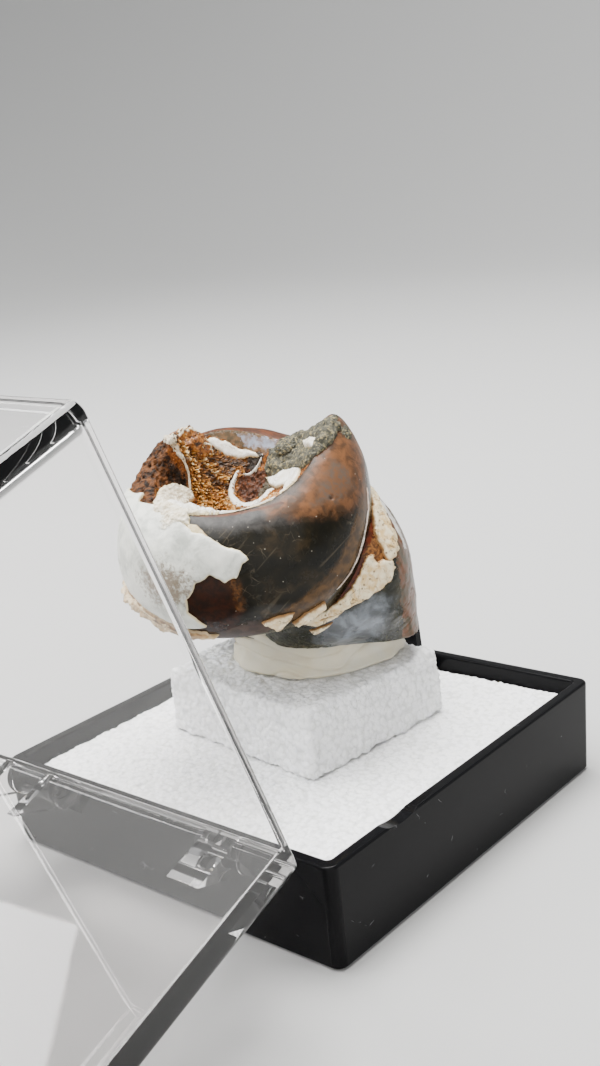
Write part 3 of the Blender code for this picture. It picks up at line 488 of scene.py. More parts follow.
def whorl_normals(surface, azimuths, reaches):
    low = np.maximum(reaches - REACH_STEP, REACH_STEP)
    along = surface(azimuths + TURN_STEP, reaches) - surface(azimuths - TURN_STEP, reaches)
    down = surface(azimuths, reaches + REACH_STEP) - surface(azimuths, low)
    return slopes_to_normals(along, down)


def pit_normals(x, y):
    slope_x = pit_points(x + PIT_STEP, y) - pit_points(x - PIT_STEP, y)
    slope_y = pit_points(x, y + PIT_STEP) - pit_points(x, y - PIT_STEP)
    return slopes_to_normals(slope_y, slope_x)


def shell_matrix():
    settings = specimen_settings()
    turn = Euler(settings.tilt).to_matrix().to_4x4()
    return Matrix.Translation(settings.centre) @ turn @ Matrix.Scale(MM, 4)


def placed(points):
    """Points in the shell's axes, in millimetres, to metres in the box's frame."""
    matrix = np.array(shell_matrix())
    return points @ matrix[:3, :3].T + matrix[:3, 3]


def outline_depth(places, corners):
    """How deep inside an outline each place lies, negative outside."""
    corners = np.asarray(corners, float)
    inside = np.zeros(len(places), bool)
    nearest = np.full(len(places), np.inf)
    for start, end in zip(corners, np.roll(corners, -1, axis=0)):
        way = end - start
        share = np.clip(((places - start) @ way) / (way @ way), 0, 1)
        nearest = np.minimum(nearest, np.linalg.norm(places - start - share[:, None] * way, axis=1))
        crosses = (start[1] > places[:, 1]) != (end[1] > places[:, 1])
        rise = way[1] if abs(way[1]) > TINY else TINY
        inside ^= crosses & (places[:, 0] < start[0] + (places[:, 1] - start[1]) / rise * way[0])
    return np.where(inside, nearest, -nearest)


def flattened(azimuths, reaches, middle):
    """Places on a whorl laid out flat in millimetres, with azimuths counted near a middle one."""
    turned = (np.asarray(azimuths, float) - middle + 180) % 360 - 180 + middle
    return np.stack([turned * ACROSS, np.asarray(reaches, float) * MEAN_SECTION], axis=1)


def flat_corners(outline):
    azimuths, reaches = np.array(outline, float).T
    return flattened(azimuths, reaches, azimuths[0])


def stain_depths(stains, azimuths, reaches):
    found = {}
    for name, outline in stains.items():
        places = flattened(azimuths, reaches, mean_azimuth(outline))
        corners = flattened(*np.array(outline, float).T, mean_azimuth(outline))
        found[name] = outline_depth(places, corners)
    return found


def mean_azimuth(outline):
    turns = np.radians([azimuth for azimuth, reach in outline])
    return math.degrees(math.atan2(np.sin(turns).mean(), np.cos(turns).mean()))


def ring_grid(surface, columns, rows, poles):
    """A closed body of rings: its azimuths, reaches, points and faces, with a point at each end."""
    azimuths = np.tile(np.arange(columns) * 360.0 / columns, len(rows))
    reaches = np.repeat(rows, columns)
    points = surface(azimuths, reaches)
    faces = []
    for row in range(len(rows) - 1):
        for column in range(columns):
            after = (column + 1) % columns
            here, below = row * columns, (row + 1) * columns
            faces.append((here + column, below + column, below + after, here + after))
    first, last = len(points), len(points) + 1
    bottom = (len(rows) - 1) * columns
    for column in range(columns):
        after = (column + 1) % columns
        faces.append((first, column, after))
        faces.append((last, bottom + after, bottom + column))
    return azimuths, reaches, np.vstack([points, poles]), faces


def torn_outline(corners, pitch, depth, grain):
    """A flat outline with a ragged edge, in millimetres."""
    points = []
    for start, end in zip(corners, np.roll(corners, -1, axis=0)):
        steps = max(1, round(float(np.linalg.norm(end - start)) / pitch))
        for step in range(steps):
            points.append(start + (end - start) * step / steps)
    points = np.array(points)
    ahead = np.roll(points, -1, axis=0) - np.roll(points, 1, axis=0)
    side = np.stack([-ahead[:, 1], ahead[:, 0]], axis=1)
    side /= np.linalg.norm(side, axis=1)[:, None] + TINY
    flat = np.column_stack([points, np.zeros(len(points))])
    tear = smooth_noise(flat, grain) + 0.5 * smooth_noise(flat + 7.0, grain * 0.4)
    return points + side * (depth * tear)[:, None]


def wall_piece(outline, place_on, lift, sink, cell, tear, roughness=0.05, rounding=0.3, grain=1.1):
    """A closed plate of shell wall with a ragged, rounded edge, on a surface of the shell.

    place_on turns flat places into points and outward directions. The plate stands `lift` out of the
    surface and reaches `sink` into it, all in millimetres.
    """
    border = torn_outline(np.asarray(outline, float), cell * 0.8, tear, grain)
    low, high = border.min(axis=0), border.max(axis=0)
    columns, rows = np.meshgrid(np.arange(low[0], high[0], cell), np.arange(low[1], high[1], cell))
    inner = np.stack([columns.ravel(), rows.ravel()], axis=1)
    inner = inner[outline_depth(inner, border) > cell * 0.6]
    places = [Vector(place) for place in np.vstack([border, inner])]
    made = delaunay_2d_cdt(places, [], [list(range(len(border)))], 1, 1e-7)
    flat = np.array([tuple(place) for place in made[0]])
    triangles = [tuple(triangle) for triangle in made[2]]
    points, normals = place_on(flat)
    depth = np.maximum(outline_depth(flat, border), 0.0)
    relief = roughness * (smooth_noise(points, 0.9) + 0.6 * smooth_noise(points, 0.35))
    rise = lift * (0.45 + 0.55 * ease(depth, -0.02, rounding)) + relief
    top = points + normals * rise[:, None]
    under = points - normals * sink
    count = len(flat)
    faces = [tuple(triangle) for triangle in triangles]
    faces += [tuple(count + i for i in reversed(triangle)) for triangle in triangles]
    sides = {}
    for triangle in triangles:
        for pair in zip(triangle, triangle[1:] + triangle[:1]):
            key = tuple(sorted(pair))
            sides[key] = None if key in sides else pair
    for first, second in filter(None, sides.values()):
        faces.append((second, first, count + first, count + second))
    inside = np.concatenate([depth, np.full(count, -1.0)])
    return mesh_piece(placed(np.vstack([top, under])), faces, {"inside": inside})


def on_whorl(surface):
    def place_on(flat):
        azimuths, reaches = flat[:, 0] / ACROSS, flat[:, 1] / MEAN_SECTION
        return surface(azimuths, reaches), whorl_normals(surface, azimuths, reaches)
    return place_on


def on_pit(flat):
    return pit_points(flat[:, 0], flat[:, 1]), pit_normals(flat[:, 0], flat[:, 1])


# Materials

class Finish:
    """A small hand for building one procedural material. Sizes are in millimetres."""

    def __init__(self, name):
        self.material = bpy.data.materials.new(name)
        self.material.use_nodes = True
        self.nodes = self.material.node_tree.nodes
        self.links = self.material.node_tree.links
        self.shader = self.nodes["Principled BSDF"]
        self.place = self.nodes.new("ShaderNodeTexCoord").outputs["Object"]

    def feed(self, socket, value):
        if isinstance(value, bpy.types.NodeSocket):
            self.links.new(value, socket)
        elif isinstance(value, (tuple, list)) and len(value) == 3 and socket.type == "RGBA":
            socket.default_value = (*value, 1.0)
        else:
            socket.default_value = value

    def set(self, **values):
        for name, value in values.items():
            self.feed(self.shader.inputs[name.replace("_", " ")], value)

    def drawn_out(self, across, along, size, reach):
        """Object places on which noise is `size` across one way and `reach` along the other."""
        combined = self.nodes.new("ShaderNodeCombineXYZ")
        for socket, way, scale in zip(combined.inputs, (across, along), (size, reach)):
            product = self.nodes.new("ShaderNodeVectorMath")
            product.operation = "DOT_PRODUCT"
            self.links.new(self.place, product.inputs[0])
            product.inputs[1].default_value = [part / scale for part in way]
            self.links.new(product.outputs["Value"], socket)
        return combined.outputs["Vector"]

    def noise(self, size, detail=3.0, rough=0.5, distortion=0.0, place=None):
        node = self.nodes.new("ShaderNodeTexNoise")
        self.links.new(place or self.place, node.inputs["Vector"])
        node.inputs["Scale"].default_value = 1.0 / (size * MM)
        node.inputs["Detail"].default_value = detail
        node.inputs["Roughness"].default_value = rough
        node.inputs["Distortion"].default_value = distortion
        return node.outputs["Fac"]

    def cells(self, size, feature="F1", place=None):
        node = self.nodes.new("ShaderNodeTexVoronoi")
        node.feature = feature
        self.links.new(place or self.place, node.inputs["Vector"])
        node.inputs["Scale"].default_value = 1.0 / (size * MM)
        return node.outputs["Distance"]

    def hairlines(self, size, warp, outer, inner):
        """Thin lines between cells about `size` across, bent by noise."""
        borders = self.cells(size, "DISTANCE_TO_EDGE", self.noise_warp(warp))
        return self.between(borders, outer, inner)

    def veins(self, noise_value, outer, inner):
        """Thin lines where a noise passes its middle value."""
        from_middle = self.math("ABSOLUTE", self.math("SUBTRACT", noise_value, 0.5))
        return self.between(from_middle, outer, inner)

    def in_patches(self, marks, size, low, high, detail=3.0):
        """Marks that show only here and there, in patches about `size` across."""
        return self.math("MULTIPLY", marks, self.between(self.noise(size, detail), low, high))

    def ragged(self, name, reach, size, detail=4.0, rough=0.5):
        """A stored depth that noise pushes about, so that what it bounds has a ragged edge."""
        uneven = self.math("SUBTRACT", self.noise(size, detail, rough), 0.5)
        return self.math("MULTIPLY_ADD", uneven, reach, self.attribute(name))

    def laid_over(self, tone, marks, strength, colour_value):
        """A tone with another laid over it where the marks are."""
        return self.mix(self.math("MULTIPLY", marks, strength), tone, colour_value)

    def grains(self, size):
        """A different random number in each small cell."""
        node = self.nodes.new("ShaderNodeTexVoronoi")
        self.links.new(self.place, node.inputs["Vector"])
        node.inputs["Scale"].default_value = 1.0 / (size * MM)
        split = self.nodes.new("ShaderNodeSeparateColor")
        self.links.new(node.outputs["Color"], split.inputs["Color"])
        return split.outputs[0]

    def noise_warp(self, size):
        """Object places pushed about by noise, so that a cell pattern on them looks natural."""
        node = self.nodes.new("ShaderNodeTexNoise")
        self.links.new(self.place, node.inputs["Vector"])
        node.inputs["Scale"].default_value = 1.0 / (size * MM)
        scaled = self.nodes.new("ShaderNodeVectorMath")
        scaled.operation = "MULTIPLY_ADD"
        self.links.new(node.outputs["Color"], scaled.inputs[0])
        scaled.inputs[1].default_value = (size * MM,) * 3
        self.links.new(self.place, scaled.inputs[2])
        return scaled.outputs["Vector"]

    def attribute(self, name):
        node = self.nodes.new("ShaderNodeAttribute")
        node.attribute_name = name
        return node.outputs["Fac"]

    def math(self, operation, first, second=0.0, third=0.0):
        node = self.nodes.new("ShaderNodeMath")
        node.operation = operation
        for socket, value in zip(node.inputs, (first, second, third)):
            self.feed(socket, value)
        return node.outputs["Value"]

    def between(self, value, low, high, out_low=0.0, out_high=1.0):
        node = self.nodes.new("ShaderNodeMapRange")
        node.interpolation_type = "SMOOTHSTEP"
        node.clamp = True
        sockets = ("Value", "From Min", "From Max", "To Min", "To Max")
        for name, number in zip(sockets, (value, low, high, out_low, out_high)):
            self.feed(node.inputs[name], number)
        return node.outputs["Result"]

    def mix(self, share, first, second):
        node = self.nodes.new("ShaderNodeMix")
        node.data_type = "RGBA"
        self.feed(node.inputs["Factor"], share)
        self.feed(node.inputs[6], first)
        self.feed(node.inputs[7], second)
        return node.outputs[2]

    def blend(self, share, first, second):
        """A number between two others."""
        node = self.nodes.new("ShaderNodeMix")
        self.feed(node.inputs["Factor"], share)
        self.feed(node.inputs[2], first)
        self.feed(node.inputs[3], second)
        return node.outputs[0]

    def ramp(self, share, *stops):
        node = self.nodes.new("ShaderNodeValToRGB")
        self.links.new(share, node.inputs["Fac"])
        elements = node.color_ramp.elements
        while len(elements) < len(stops):
            elements.new(0.5)
        for element, (place, colour_value) in zip(elements, stops):
            element.position = place
            element.color = (*colour_value, 1.0)
        return node.outputs["Color"]

    def bump(self, height, depth, normal=None):
        """Relief about `depth` millimetres deep."""
        node = self.nodes.new("ShaderNodeBump")
        node.inputs["Distance"].default_value = depth * MM
        self.links.new(height, node.inputs["Height"])
        if normal:
            self.links.new(normal, node.inputs["Normal"])
        return node.outputs["Normal"]


def stained(finish, tone, rough, stains):
    """Lays stains, and patches of painted sheen and shade, over what is there. Each edge is ragged, and each
    patch is mottled in two colours.

    Gives the tone and the roughness, and each stain's mask by its name.
    """
    masks = {}
    for name, colours, roughness, shape in stains:
        mottle, ragged, feather = (shape.get(key, usual) for key, usual in STAIN_SHAPE.items())
        depth = finish.ragged(name, ragged * 3.2, max(ragged, 0.3) * 1.6, 5.0, 0.62)
        mask = finish.between(depth, -feather, feather)
        stain = finish.mix(finish.between(finish.noise(mottle, 5.0, 0.6, 0.4), 0.36, 0.64), *colours)
        tone = finish.mix(mask, tone, stain)
        rough = finish.blend(mask, rough, roughness)
        masks[name] = mask
    return tone, rough, masks


def tray_finish():
    """Glossy moulded black with dust and a few hair scratches."""
    finish = Finish("glossy_black_plastic")
    dust = finish.in_patches(finish.between(finish.cells(1.5), 0.05, 0.025), 7.0, 0.55, 0.62, 2.0)
    scratches = finish.in_patches(finish.hairlines(3.2, 3.0, 0.012, 0.003), 2.2, 0.66, 0.72, 2.0)
    marks = finish.math("MAXIMUM", dust, finish.math("MULTIPLY", scratches, 0.4))
    tone = finish.mix(marks, tuple(box_settings().tray_colour), (0.35, 0.35, 0.36))
    rough = finish.between(finish.noise(14.0, 4.0), 0.3, 0.7, 0.07, 0.15)
    finish.set(Base_Color=tone, Roughness=rough, Specular_IOR_Level=0.07)
    finish.set(Normal=finish.bump(finish.noise(5.0, 2.0), 0.006))
    return finish.material


def lid_finish():
    """Clear polystyrene with faint moulding ripples."""
    finish = Finish("clear_polystyrene")
    finish.set(Base_Color=tuple(box_settings().lid_colour), Roughness=0.015, Transmission_Weight=1.0, IOR=1.5)
    finish.set(Normal=finish.bump(finish.noise(9.0, 1.0), 0.004))
    return finish.material


def foam_finish(name):
    """White open foam: sugary grains, painted lighter in their middles and with painted shade in the small
    gaps between them.
    """
    finish = Finish(name)
    white = tuple(box_settings().foam_colour)
    grain = finish.cells(0.75)
    fine = finish.noise(0.3, 4.0, 0.7)
    gaps = finish.math("ADD", grain, finish.math("MULTIPLY", fine, 0.5))
    # Painted light and shade: the grains' middles are painted lighter than the foam and the gaps between them
    # darker grey.
    tone = finish.ramp(gaps, (0.25, (0.985, 0.987, 0.99)), (0.75, white), (1.05, (0.76, 0.765, 0.76)))
    glints = finish.between(finish.cells(0.6), 0.30, 0.16)
    finish.set(Base_Color=tone, Roughness=finish.blend(glints, 0.6, 0.18), Subsurface_Weight=0.2)
    finish.set(Subsurface_Radius=(0.0005, 0.0005, 0.0006), Subsurface_Scale=1.0)
    finish.set(Normal=finish.bump(fine, 0.14, finish.bump(grain, -0.24)))
    return finish.material


def putty_finish():
    """Greyish cream putty, yellower in places, with soft smears."""
    finish = Finish("mounting_putty")
    cream = tuple(box_settings().putty_colour)
    warm = finish.noise(6.0, 3.0, 0.5, 0.6)
    tone = finish.ramp(warm, (0.3, cream), (0.55, (0.70, 0.645, 0.49)), (0.8, (0.66, 0.57, 0.38)))
    finish.set(Base_Color=tone, Roughness=0.5, Subsurface_Weight=0.15)
    finish.set(Subsurface_Radius=(0.001, 0.0008, 0.0005), Subsurface_Scale=1.0)
    relief = finish.bump(finish.noise(2.4, 4.0), 0.12)
    finish.set(Normal=finish.bump(finish.noise(0.4, 3.0), 0.02, relief))
    return finish.material


# How a stain looks unless it says otherwise, in millimetres: the size of its mottling, how far its edge
# strays, and how softly the edge fades.
STAIN_SHAPE = {"mottle": 1.2, "ragged": 0.7, "feather": 0.12}
POROUS_TONES = ((0.125, 0.046, 0.014), (0.014, 0.009, 0.006))
# Each stain, or patch of painted sheen or shade, in the order in which it is laid: its name, its two colours,
# its roughness and its shape.
UPPER_LOOKS = (
    # Grey stone with a painted highlight sheen, lighter than the stone round it.
    ("grey_band_and_sheen", ((0.050, 0.046, 0.042), (0.022, 0.020, 0.018)), 0.34, {"ragged": 0.5, "feather": 0.9}),
    ("amber_band", ((0.090, 0.045, 0.014), (0.034, 0.019, 0.008)), 0.28, {"ragged": 0.35, "feather": 0.4}),
    ("mauve_edge", ((0.055, 0.030, 0.021), (0.026, 0.015, 0.010)), 0.38, {"ragged": 0.6, "feather": 0.6}),
    ("deep_brown", ((0.026, 0.008, 0.0035), (0.010, 0.005, 0.0035)), 0.2,
     {"mottle": 0.8, "ragged": 0.3, "feather": 0.6}),
    ("amber_streak", ((0.11, 0.042, 0.010), (0.018, 0.008, 0.004)), 0.3,
     {"mottle": 0.35, "ragged": 0.5, "feather": 0.5}),
    ("salmon", ((0.150, 0.064, 0.027), (0.060, 0.031, 0.016)), 0.35,
     {"mottle": 1.3, "ragged": 1.1, "feather": 1.1}),
    ("shoulder_grey", ((0.088, 0.064, 0.048), (0.125, 0.060, 0.030)), 0.36,
     {"mottle": 0.7, "ragged": 1.0, "feather": 0.9}),
    ("rear_rim", ((0.105, 0.034, 0.014), (0.045, 0.020, 0.012)), 0.4, {"ragged": 0.6, "feather": 0.4}),
    ("porous", POROUS_TONES, 0.68, {"mottle": 0.8, "ragged": 0.6, "feather": 0.3}),
    ("rim_line", ((0.10, 0.036, 0.014), (0.05, 0.018, 0.010)), 0.4, {"ragged": 0.2, "feather": 0.15}),
    ("pit", ((0.26, 0.085, 0.012), (0.050, 0.022, 0.009)), 0.4, {"mottle": 0.45, "ragged": 0.25}),
    ("porous_wall", POROUS_TONES, 0.68, {"mottle": 0.8, "ragged": 0.3}),
    ("rust_wall", ((0.26, 0.085, 0.015), (0.11, 0.034, 0.010)), 0.6, {"mottle": 0.5, "ragged": 0.4}),
    # Painted shade under the flap's undercut, near black.
    ("undercut_shade", ((0.008, 0.006, 0.005), (0.026, 0.014, 0.008)), 0.6, {"mottle": 0.4, "ragged": 0.4}),
    ("red_brown", ((0.17, 0.062, 0.018), (0.060, 0.034, 0.022)), 0.45, {"mottle": 0.4, "ragged": 0.4}),
    ("rust_core", ((0.095, 0.031, 0.012), (0.032, 0.016, 0.011)), 0.5, {"mottle": 0.5, "ragged": 0.3}),
    ("core_grey", ((0.045, 0.043, 0.030), (0.085, 0.060, 0.035)), 0.5, {"mottle": 0.3, "ragged": 0.4}),
    ("rear_wall", ((0.15, 0.085, 0.042), (0.075, 0.055, 0.032)), 0.4, {"mottle": 0.7, "ragged": 0.4}),
    # Painted shade: the hollow behind the thin wall, near black.
    ("hollow", ((0.014, 0.011, 0.009), (0.07, 0.055, 0.045)), 0.5, {"mottle": 0.3, "ragged": 0.25}),
    ("nacre", ((0.27, 0.29, 0.35), (0.19, 0.14, 0.12)), 0.3, {"mottle": 0.8, "ragged": 0.45}),
    ("amber", ((0.56, 0.19, 0.008), (0.36, 0.10, 0.006)), 0.35, {"mottle": 0.4, "ragged": 0.3}),
    ("cream_line", ((0.60, 0.50, 0.33), (0.40, 0.27, 0.13)), 0.6,
     {"mottle": 0.4, "ragged": 0.3, "feather": 0.06}),
)
LOWER_LOOKS = (
    ("rust_band", ((0.125, 0.046, 0.017), (0.055, 0.042, 0.020)), 0.32, {"mottle": 1.6, "ragged": 0.45}),
    # Nacre with a painted silvery-grey sheen laid into its colour.
    ("nacre_and_sheen", ((0.19, 0.21, 0.235), (0.075, 0.080, 0.085)), 0.3, {"mottle": 2.6, "feather": 1.1}),
    ("shell_side", ((0.58, 0.57, 0.53), (0.40, 0.37, 0.31)), 0.5, {"mottle": 1.5, "ragged": 1.5}),
    ("groove", ((0.115, 0.022, 0.007), (0.045, 0.011, 0.005)), 0.35, {"mottle": 0.9, "ragged": 0.3}),
    ("gap_rust", ((0.27, 0.11, 0.030), (0.055, 0.023, 0.010)), 0.5, {"mottle": 0.6, "ragged": 0.3}),
    ("white_sliver", ((0.60, 0.59, 0.56), (0.42, 0.40, 0.37)), 0.4, {"mottle": 0.8, "ragged": 0.3}),
)


def upper_cast_finish():
    """Near-black polished stone: stained, worn and porous areas, the pit's ground, painted glints, painted
    sheen and painted shade.
    """
    finish = Finish("dark_polished_cast")
    tone = finish.ramp(
        finish.noise(3.2, 6.0, 0.62, 0.5), (0.32, (0.0045, 0.0045, 0.0035)),
        (0.55, (0.010, 0.0085, 0.005)), (0.78, (0.040, 0.026, 0.012)))
    for size, warp in ((3.4, 2.4), (1.9, 3.0)):
        scratches = finish.in_patches(finish.hairlines(size, warp, 0.02, 0.004), 2.6, 0.52, 0.66)
        tone = finish.laid_over(tone, scratches, 0.5, (0.12, 0.095, 0.062))
    drawn_out = finish.drawn_out((-0.65, -0.31, 0.69), (0.41, 0.63, 0.66), 2.2, 60.0)
    streaks = finish.veins(finish.noise(1.0, 1.0, place=drawn_out), 0.018, 0.004)
    streaks = finish.in_patches(streaks, 3.6, 0.46, 0.6, 2.0)
    tone = finish.laid_over(tone, streaks, 0.32, (0.11, 0.088, 0.058))
    rough = finish.between(finish.noise(1.1, 5.0, 0.6), 0.3, 0.75, 0.16, 0.32)
    tone, rough, masks = stained(finish, tone, rough, UPPER_LOOKS)
    # Painted glints: small pale specks laid into the stone's colour.
    glint_flecks = finish.between(finish.cells(1.1), 0.075, 0.03)
    tone = finish.laid_over(tone, glint_flecks, 0.8, (0.5, 0.46, 0.38))
    finish.set(Base_Color=tone, Roughness=rough, Specular_IOR_Level=0.14)
    broken = finish.math("MAXIMUM", masks["porous"], masks["pit"])
    broken = finish.math("MAXIMUM", broken, masks["cream_line"])
    rugged = finish.math("SUBTRACT", broken, masks["rear_wall"])
    holes = finish.bump(finish.math("MULTIPLY", finish.cells(0.42), rugged), 0.22)
    finish.set(Normal=finish.bump(finish.noise(0.35, 4.0, 0.6), 0.012, holes))
    return finish.material


def lower_cast_finish():
    """The wider whorl: olive-black stone, nacre with a painted silvery sheen, rust on the side and painted
    glints.
    """
    finish = Finish("olive_polished_cast")
    tone = finish.ramp(
        finish.noise(2.2, 6.0, 0.62, 0.6), (0.3, (0.008, 0.009, 0.006)),
        (0.55, (0.020, 0.020, 0.012)), (0.78, (0.050, 0.040, 0.020)))
    rough = finish.between(finish.noise(0.8, 5.0, 0.6), 0.3, 0.75, 0.16, 0.32)
    tone, rough, masks = stained(finish, tone, rough, LOWER_LOOKS)
    # Painted glints: small pale specks laid into the stone's colour.
    glint_sparks = finish.between(finish.cells(0.8), 0.09, 0.04)
    tone = finish.laid_over(tone, glint_sparks, 0.5, (0.4, 0.38, 0.3))
    finish.set(Base_Color=tone, Roughness=rough, Specular_IOR_Level=0.22)
    finish.set(Normal=finish.bump(finish.noise(0.5, 5.0, 0.6), 0.02))
    return finish.material


def white_wall_finish():
    """Chalky white shell wall with pale grey mottling, brown dirt and cream broken edges."""
    finish = Finish("chalky_white_wall")
    tone = finish.ramp(
        finish.noise(2.6, 6.0, 0.62, 0.5), (0.32, (0.38, 0.395, 0.35)), (0.50, (0.64, 0.65, 0.585)),
        (0.72, (0.78, 0.78, 0.70)))
    specks = finish.between(finish.noise(0.28, 5.0, 0.75), 0.60, 0.70)
    tone = finish.laid_over(tone, specks, 0.45, (0.36, 0.33, 0.26))
    dirt = finish.between(finish.ragged("dirt", 9.0, 0.55, 6.0, 0.72), 0.2, 2.4)
    tone = finish.laid_over(tone, dirt, 0.88, (0.15, 0.10, 0.055))
    crumbs = finish.between(finish.ragged("crumbly", 2.0, 0.8, 5.0, 0.65), -0.2, 0.4)
    crumb_tone = finish.ramp(
        finish.noise(0.5, 6.0, 0.72), (0.33, (0.34, 0.27, 0.16)), (0.45, (0.60, 0.52, 0.37)),
        (0.62, (0.76, 0.71, 0.58)))
    tone = finish.mix(crumbs, tone, crumb_tone)
    edge = finish.between(finish.ragged("inside", 0.25, 0.5), 0.16, 0.02)
    tone = finish.mix(edge, tone, (0.66, 0.56, 0.33))
    finish.set(Base_Color=tone, Roughness=finish.blend(crumbs, 0.42, 0.75))
    fine = finish.bump(finish.noise(0.3, 5.0, 0.7), 0.03)
    lumps = finish.math("MULTIPLY", finish.cells(0.5), crumbs)
    finish.set(Normal=finish.bump(lumps, 0.25, fine))
    return finish.material


def cream_wall_finish(name, light, dark, edge_tone, wear, hole=0.6):
    """Cream shell wall with small brown pits and cracks and a warm broken edge.

    wear says how strongly the pits and cracks show, and hole how far apart the pits are.
    """
    finish = Finish(name)
    tone = finish.mix(finish.between(finish.noise(1.1, 6.0, 0.65, 0.5), 0.38, 0.66), light, dark)
    holes = finish.in_patches(finish.between(finish.cells(hole), 0.26, 0.14), 1.4, 0.46, 0.56)
    tone = finish.laid_over(tone, holes, wear, (0.13, 0.07, 0.03))
    smears = finish.between(finish.noise(0.9, 6.0, 0.7, 0.8), 0.56, 0.68)
    tone = finish.laid_over(tone, smears, wear, (0.34, 0.20, 0.09))
    cracks = finish.veins(finish.noise(1.5, 3.0, 0.6, 0.9), 0.014, 0.003)
    cracks = finish.in_patches(cracks, 1.9, 0.46, 0.56)
    tone = finish.laid_over(tone, cracks, wear, (0.16, 0.085, 0.04))
    tone = finish.mix(finish.between(finish.attribute("inside"), 0.14, 0.0), tone, edge_tone)
    finish.set(Base_Color=tone, Roughness=0.55)
    relief = finish.bump(finish.noise(0.35, 5.0, 0.7), 0.05)
    finish.set(Normal=finish.bump(finish.math("MAXIMUM", holes, cracks), -0.12, relief))
    return finish.material


def crystal_finish():
    """Small crystals that run from dark brown through orange and gold to cream."""
    finish = Finish("golden_crystals")
    tone = finish.ramp(
        finish.attribute("shade"), (0.05, (0.030, 0.021, 0.015)), (0.28, (0.115, 0.060, 0.029)),
        (0.5, (0.30, 0.112, 0.018)), (0.72, (0.52, 0.26, 0.055)), (1.0, (0.74, 0.62, 0.37)))
    finish.set(Base_Color=tone, Roughness=0.28, IOR=1.6)
    return finish.material


def crust_finish():
    """The golden crust on the rim, with a cream edge and near-black patches painted as the shade of hollows.
    """
    finish = Finish("golden_crust")
    # The near-black end of this ramp is painted shade standing in for hollows in the crust.
    tone = finish.ramp(
        finish.noise(0.9, 6.0, 0.72, 0.8), (0.36, (0.020, 0.011, 0.006)), (0.44, (0.12, 0.042, 0.010)),
        (0.54, (0.34, 0.115, 0.014)), (0.68, (0.50, 0.26, 0.055)))
    edge = finish.between(finish.ragged("inside", 0.9, 0.5), 0.34, 0.14)
    tone = finish.mix(edge, tone, (0.62, 0.54, 0.38))
    finish.set(Base_Color=tone, Roughness=0.45)
    finish.set(Normal=finish.bump(finish.noise(0.3, 5.0, 0.7), 0.12))
    return finish.material


def sandy_finish():
    """Grey-green sandstone with yellow and black grains."""
    finish = Finish("grey_green_sandstone")
    ground = finish.ramp(
        finish.noise(0.8, 6.0, 0.75), (0.36, (0.020, 0.019, 0.013)), (0.52, (0.056, 0.053, 0.035)),
        (0.66, (0.100, 0.092, 0.060)))
    grains = finish.grains(0.25)
    grain_tone = finish.ramp(
        grains, (0.08, (0.010, 0.010, 0.008)), (0.35, (0.045, 0.043, 0.028)),
        (0.75, (0.115, 0.105, 0.066)), (0.98, (0.34, 0.27, 0.12)))
    finish.set(Base_Color=finish.mix(0.58, ground, grain_tone), Roughness=0.7, Specular_IOR_Level=0.3)
    relief = finish.bump(finish.noise(0.16, 5.0, 0.75), 0.06)
    finish.set(Normal=finish.bump(grains, 0.06, relief))
    return finish.material


# Edit-mode tools

EDGE_STEPS, DOME_STEPS = 3, 8
# How close two places are taken for one, and how far a web's corners are moved to keep them apart.
SAME_PLACE, CLEAR_OF_CUBE = 1e-6, 40


def add_box(low, high):
    """A box primitive between two corners, in metres."""
    deselect()
    centre = [(a + b) / 2 for a, b in zip(low, high)]
    bpy.ops.mesh.primitive_cube_add(size=1, location=centre, scale=[b - a for a, b in zip(low, high)])
    piece = bpy.context.object
    bpy.ops.object.transform_apply(location=True, rotation=True, scale=True)
    return piece


def add_rod(radius, start, end, y=0.0, z=0.0, sides=64):
    """A round bar along X."""
    deselect()
    bpy.ops.mesh.primitive_cylinder_add(
        vertices=sides, radius=radius, depth=end - start, location=((start + end) / 2, y, z),
        rotation=(0, math.pi / 2, 0))
    piece = bpy.context.object
    bpy.ops.object.transform_apply(location=True, rotation=True, scale=True)
    return piece


def pick(piece, kind, test):
    """Goes into edit mode with the vertices, edges or faces whose place passes a test selected."""
    select_only(piece)
    bpy.ops.object.mode_set(mode="EDIT")
    bpy.ops.mesh.select_mode(type=kind)
    bpy.ops.mesh.select_all(action="DESELECT")
    bpy.ops.object.mode_set(mode="OBJECT")
    mesh = piece.data
    if kind == "FACE":
        for polygon in mesh.polygons:
            polygon.select = test(polygon.center)
    elif kind == "EDGE":
        for edge in mesh.edges:
            start, end = (mesh.vertices[i].co for i in edge.vertices)
            edge.select = test((start + end) / 2, (end - start).normalized())
    else:
        for vertex in mesh.vertices:
            vertex.select = test(vertex.co)
    bpy.ops.object.mode_set(mode="EDIT")


def done():
    bpy.ops.object.mode_set(mode="OBJECT")


def round_upright_edges(piece, radius, steps=6):
    pick(piece, "EDGE", lambda middle, way: abs(way.z) > 0.9)
    bpy.ops.mesh.bevel(offset=radius, segments=steps)
    done()


def resize_end(piece, test, factors, shift=(0, 0, 0)):
    """Scales the faces that pass a test about the part's own middle, then moves them."""
    pick(piece, "FACE", test)
    bpy.ops.transform.resize(value=factors)
    bpy.ops.transform.translate(value=shift)
    done()


def narrow_end(piece, test, half, draft):
    """Draws an end of a moulding in by its draft, as seen from the part's middle."""
    narrow = (half - draft) / half
    resize_end(piece, test, (narrow, narrow, 1))


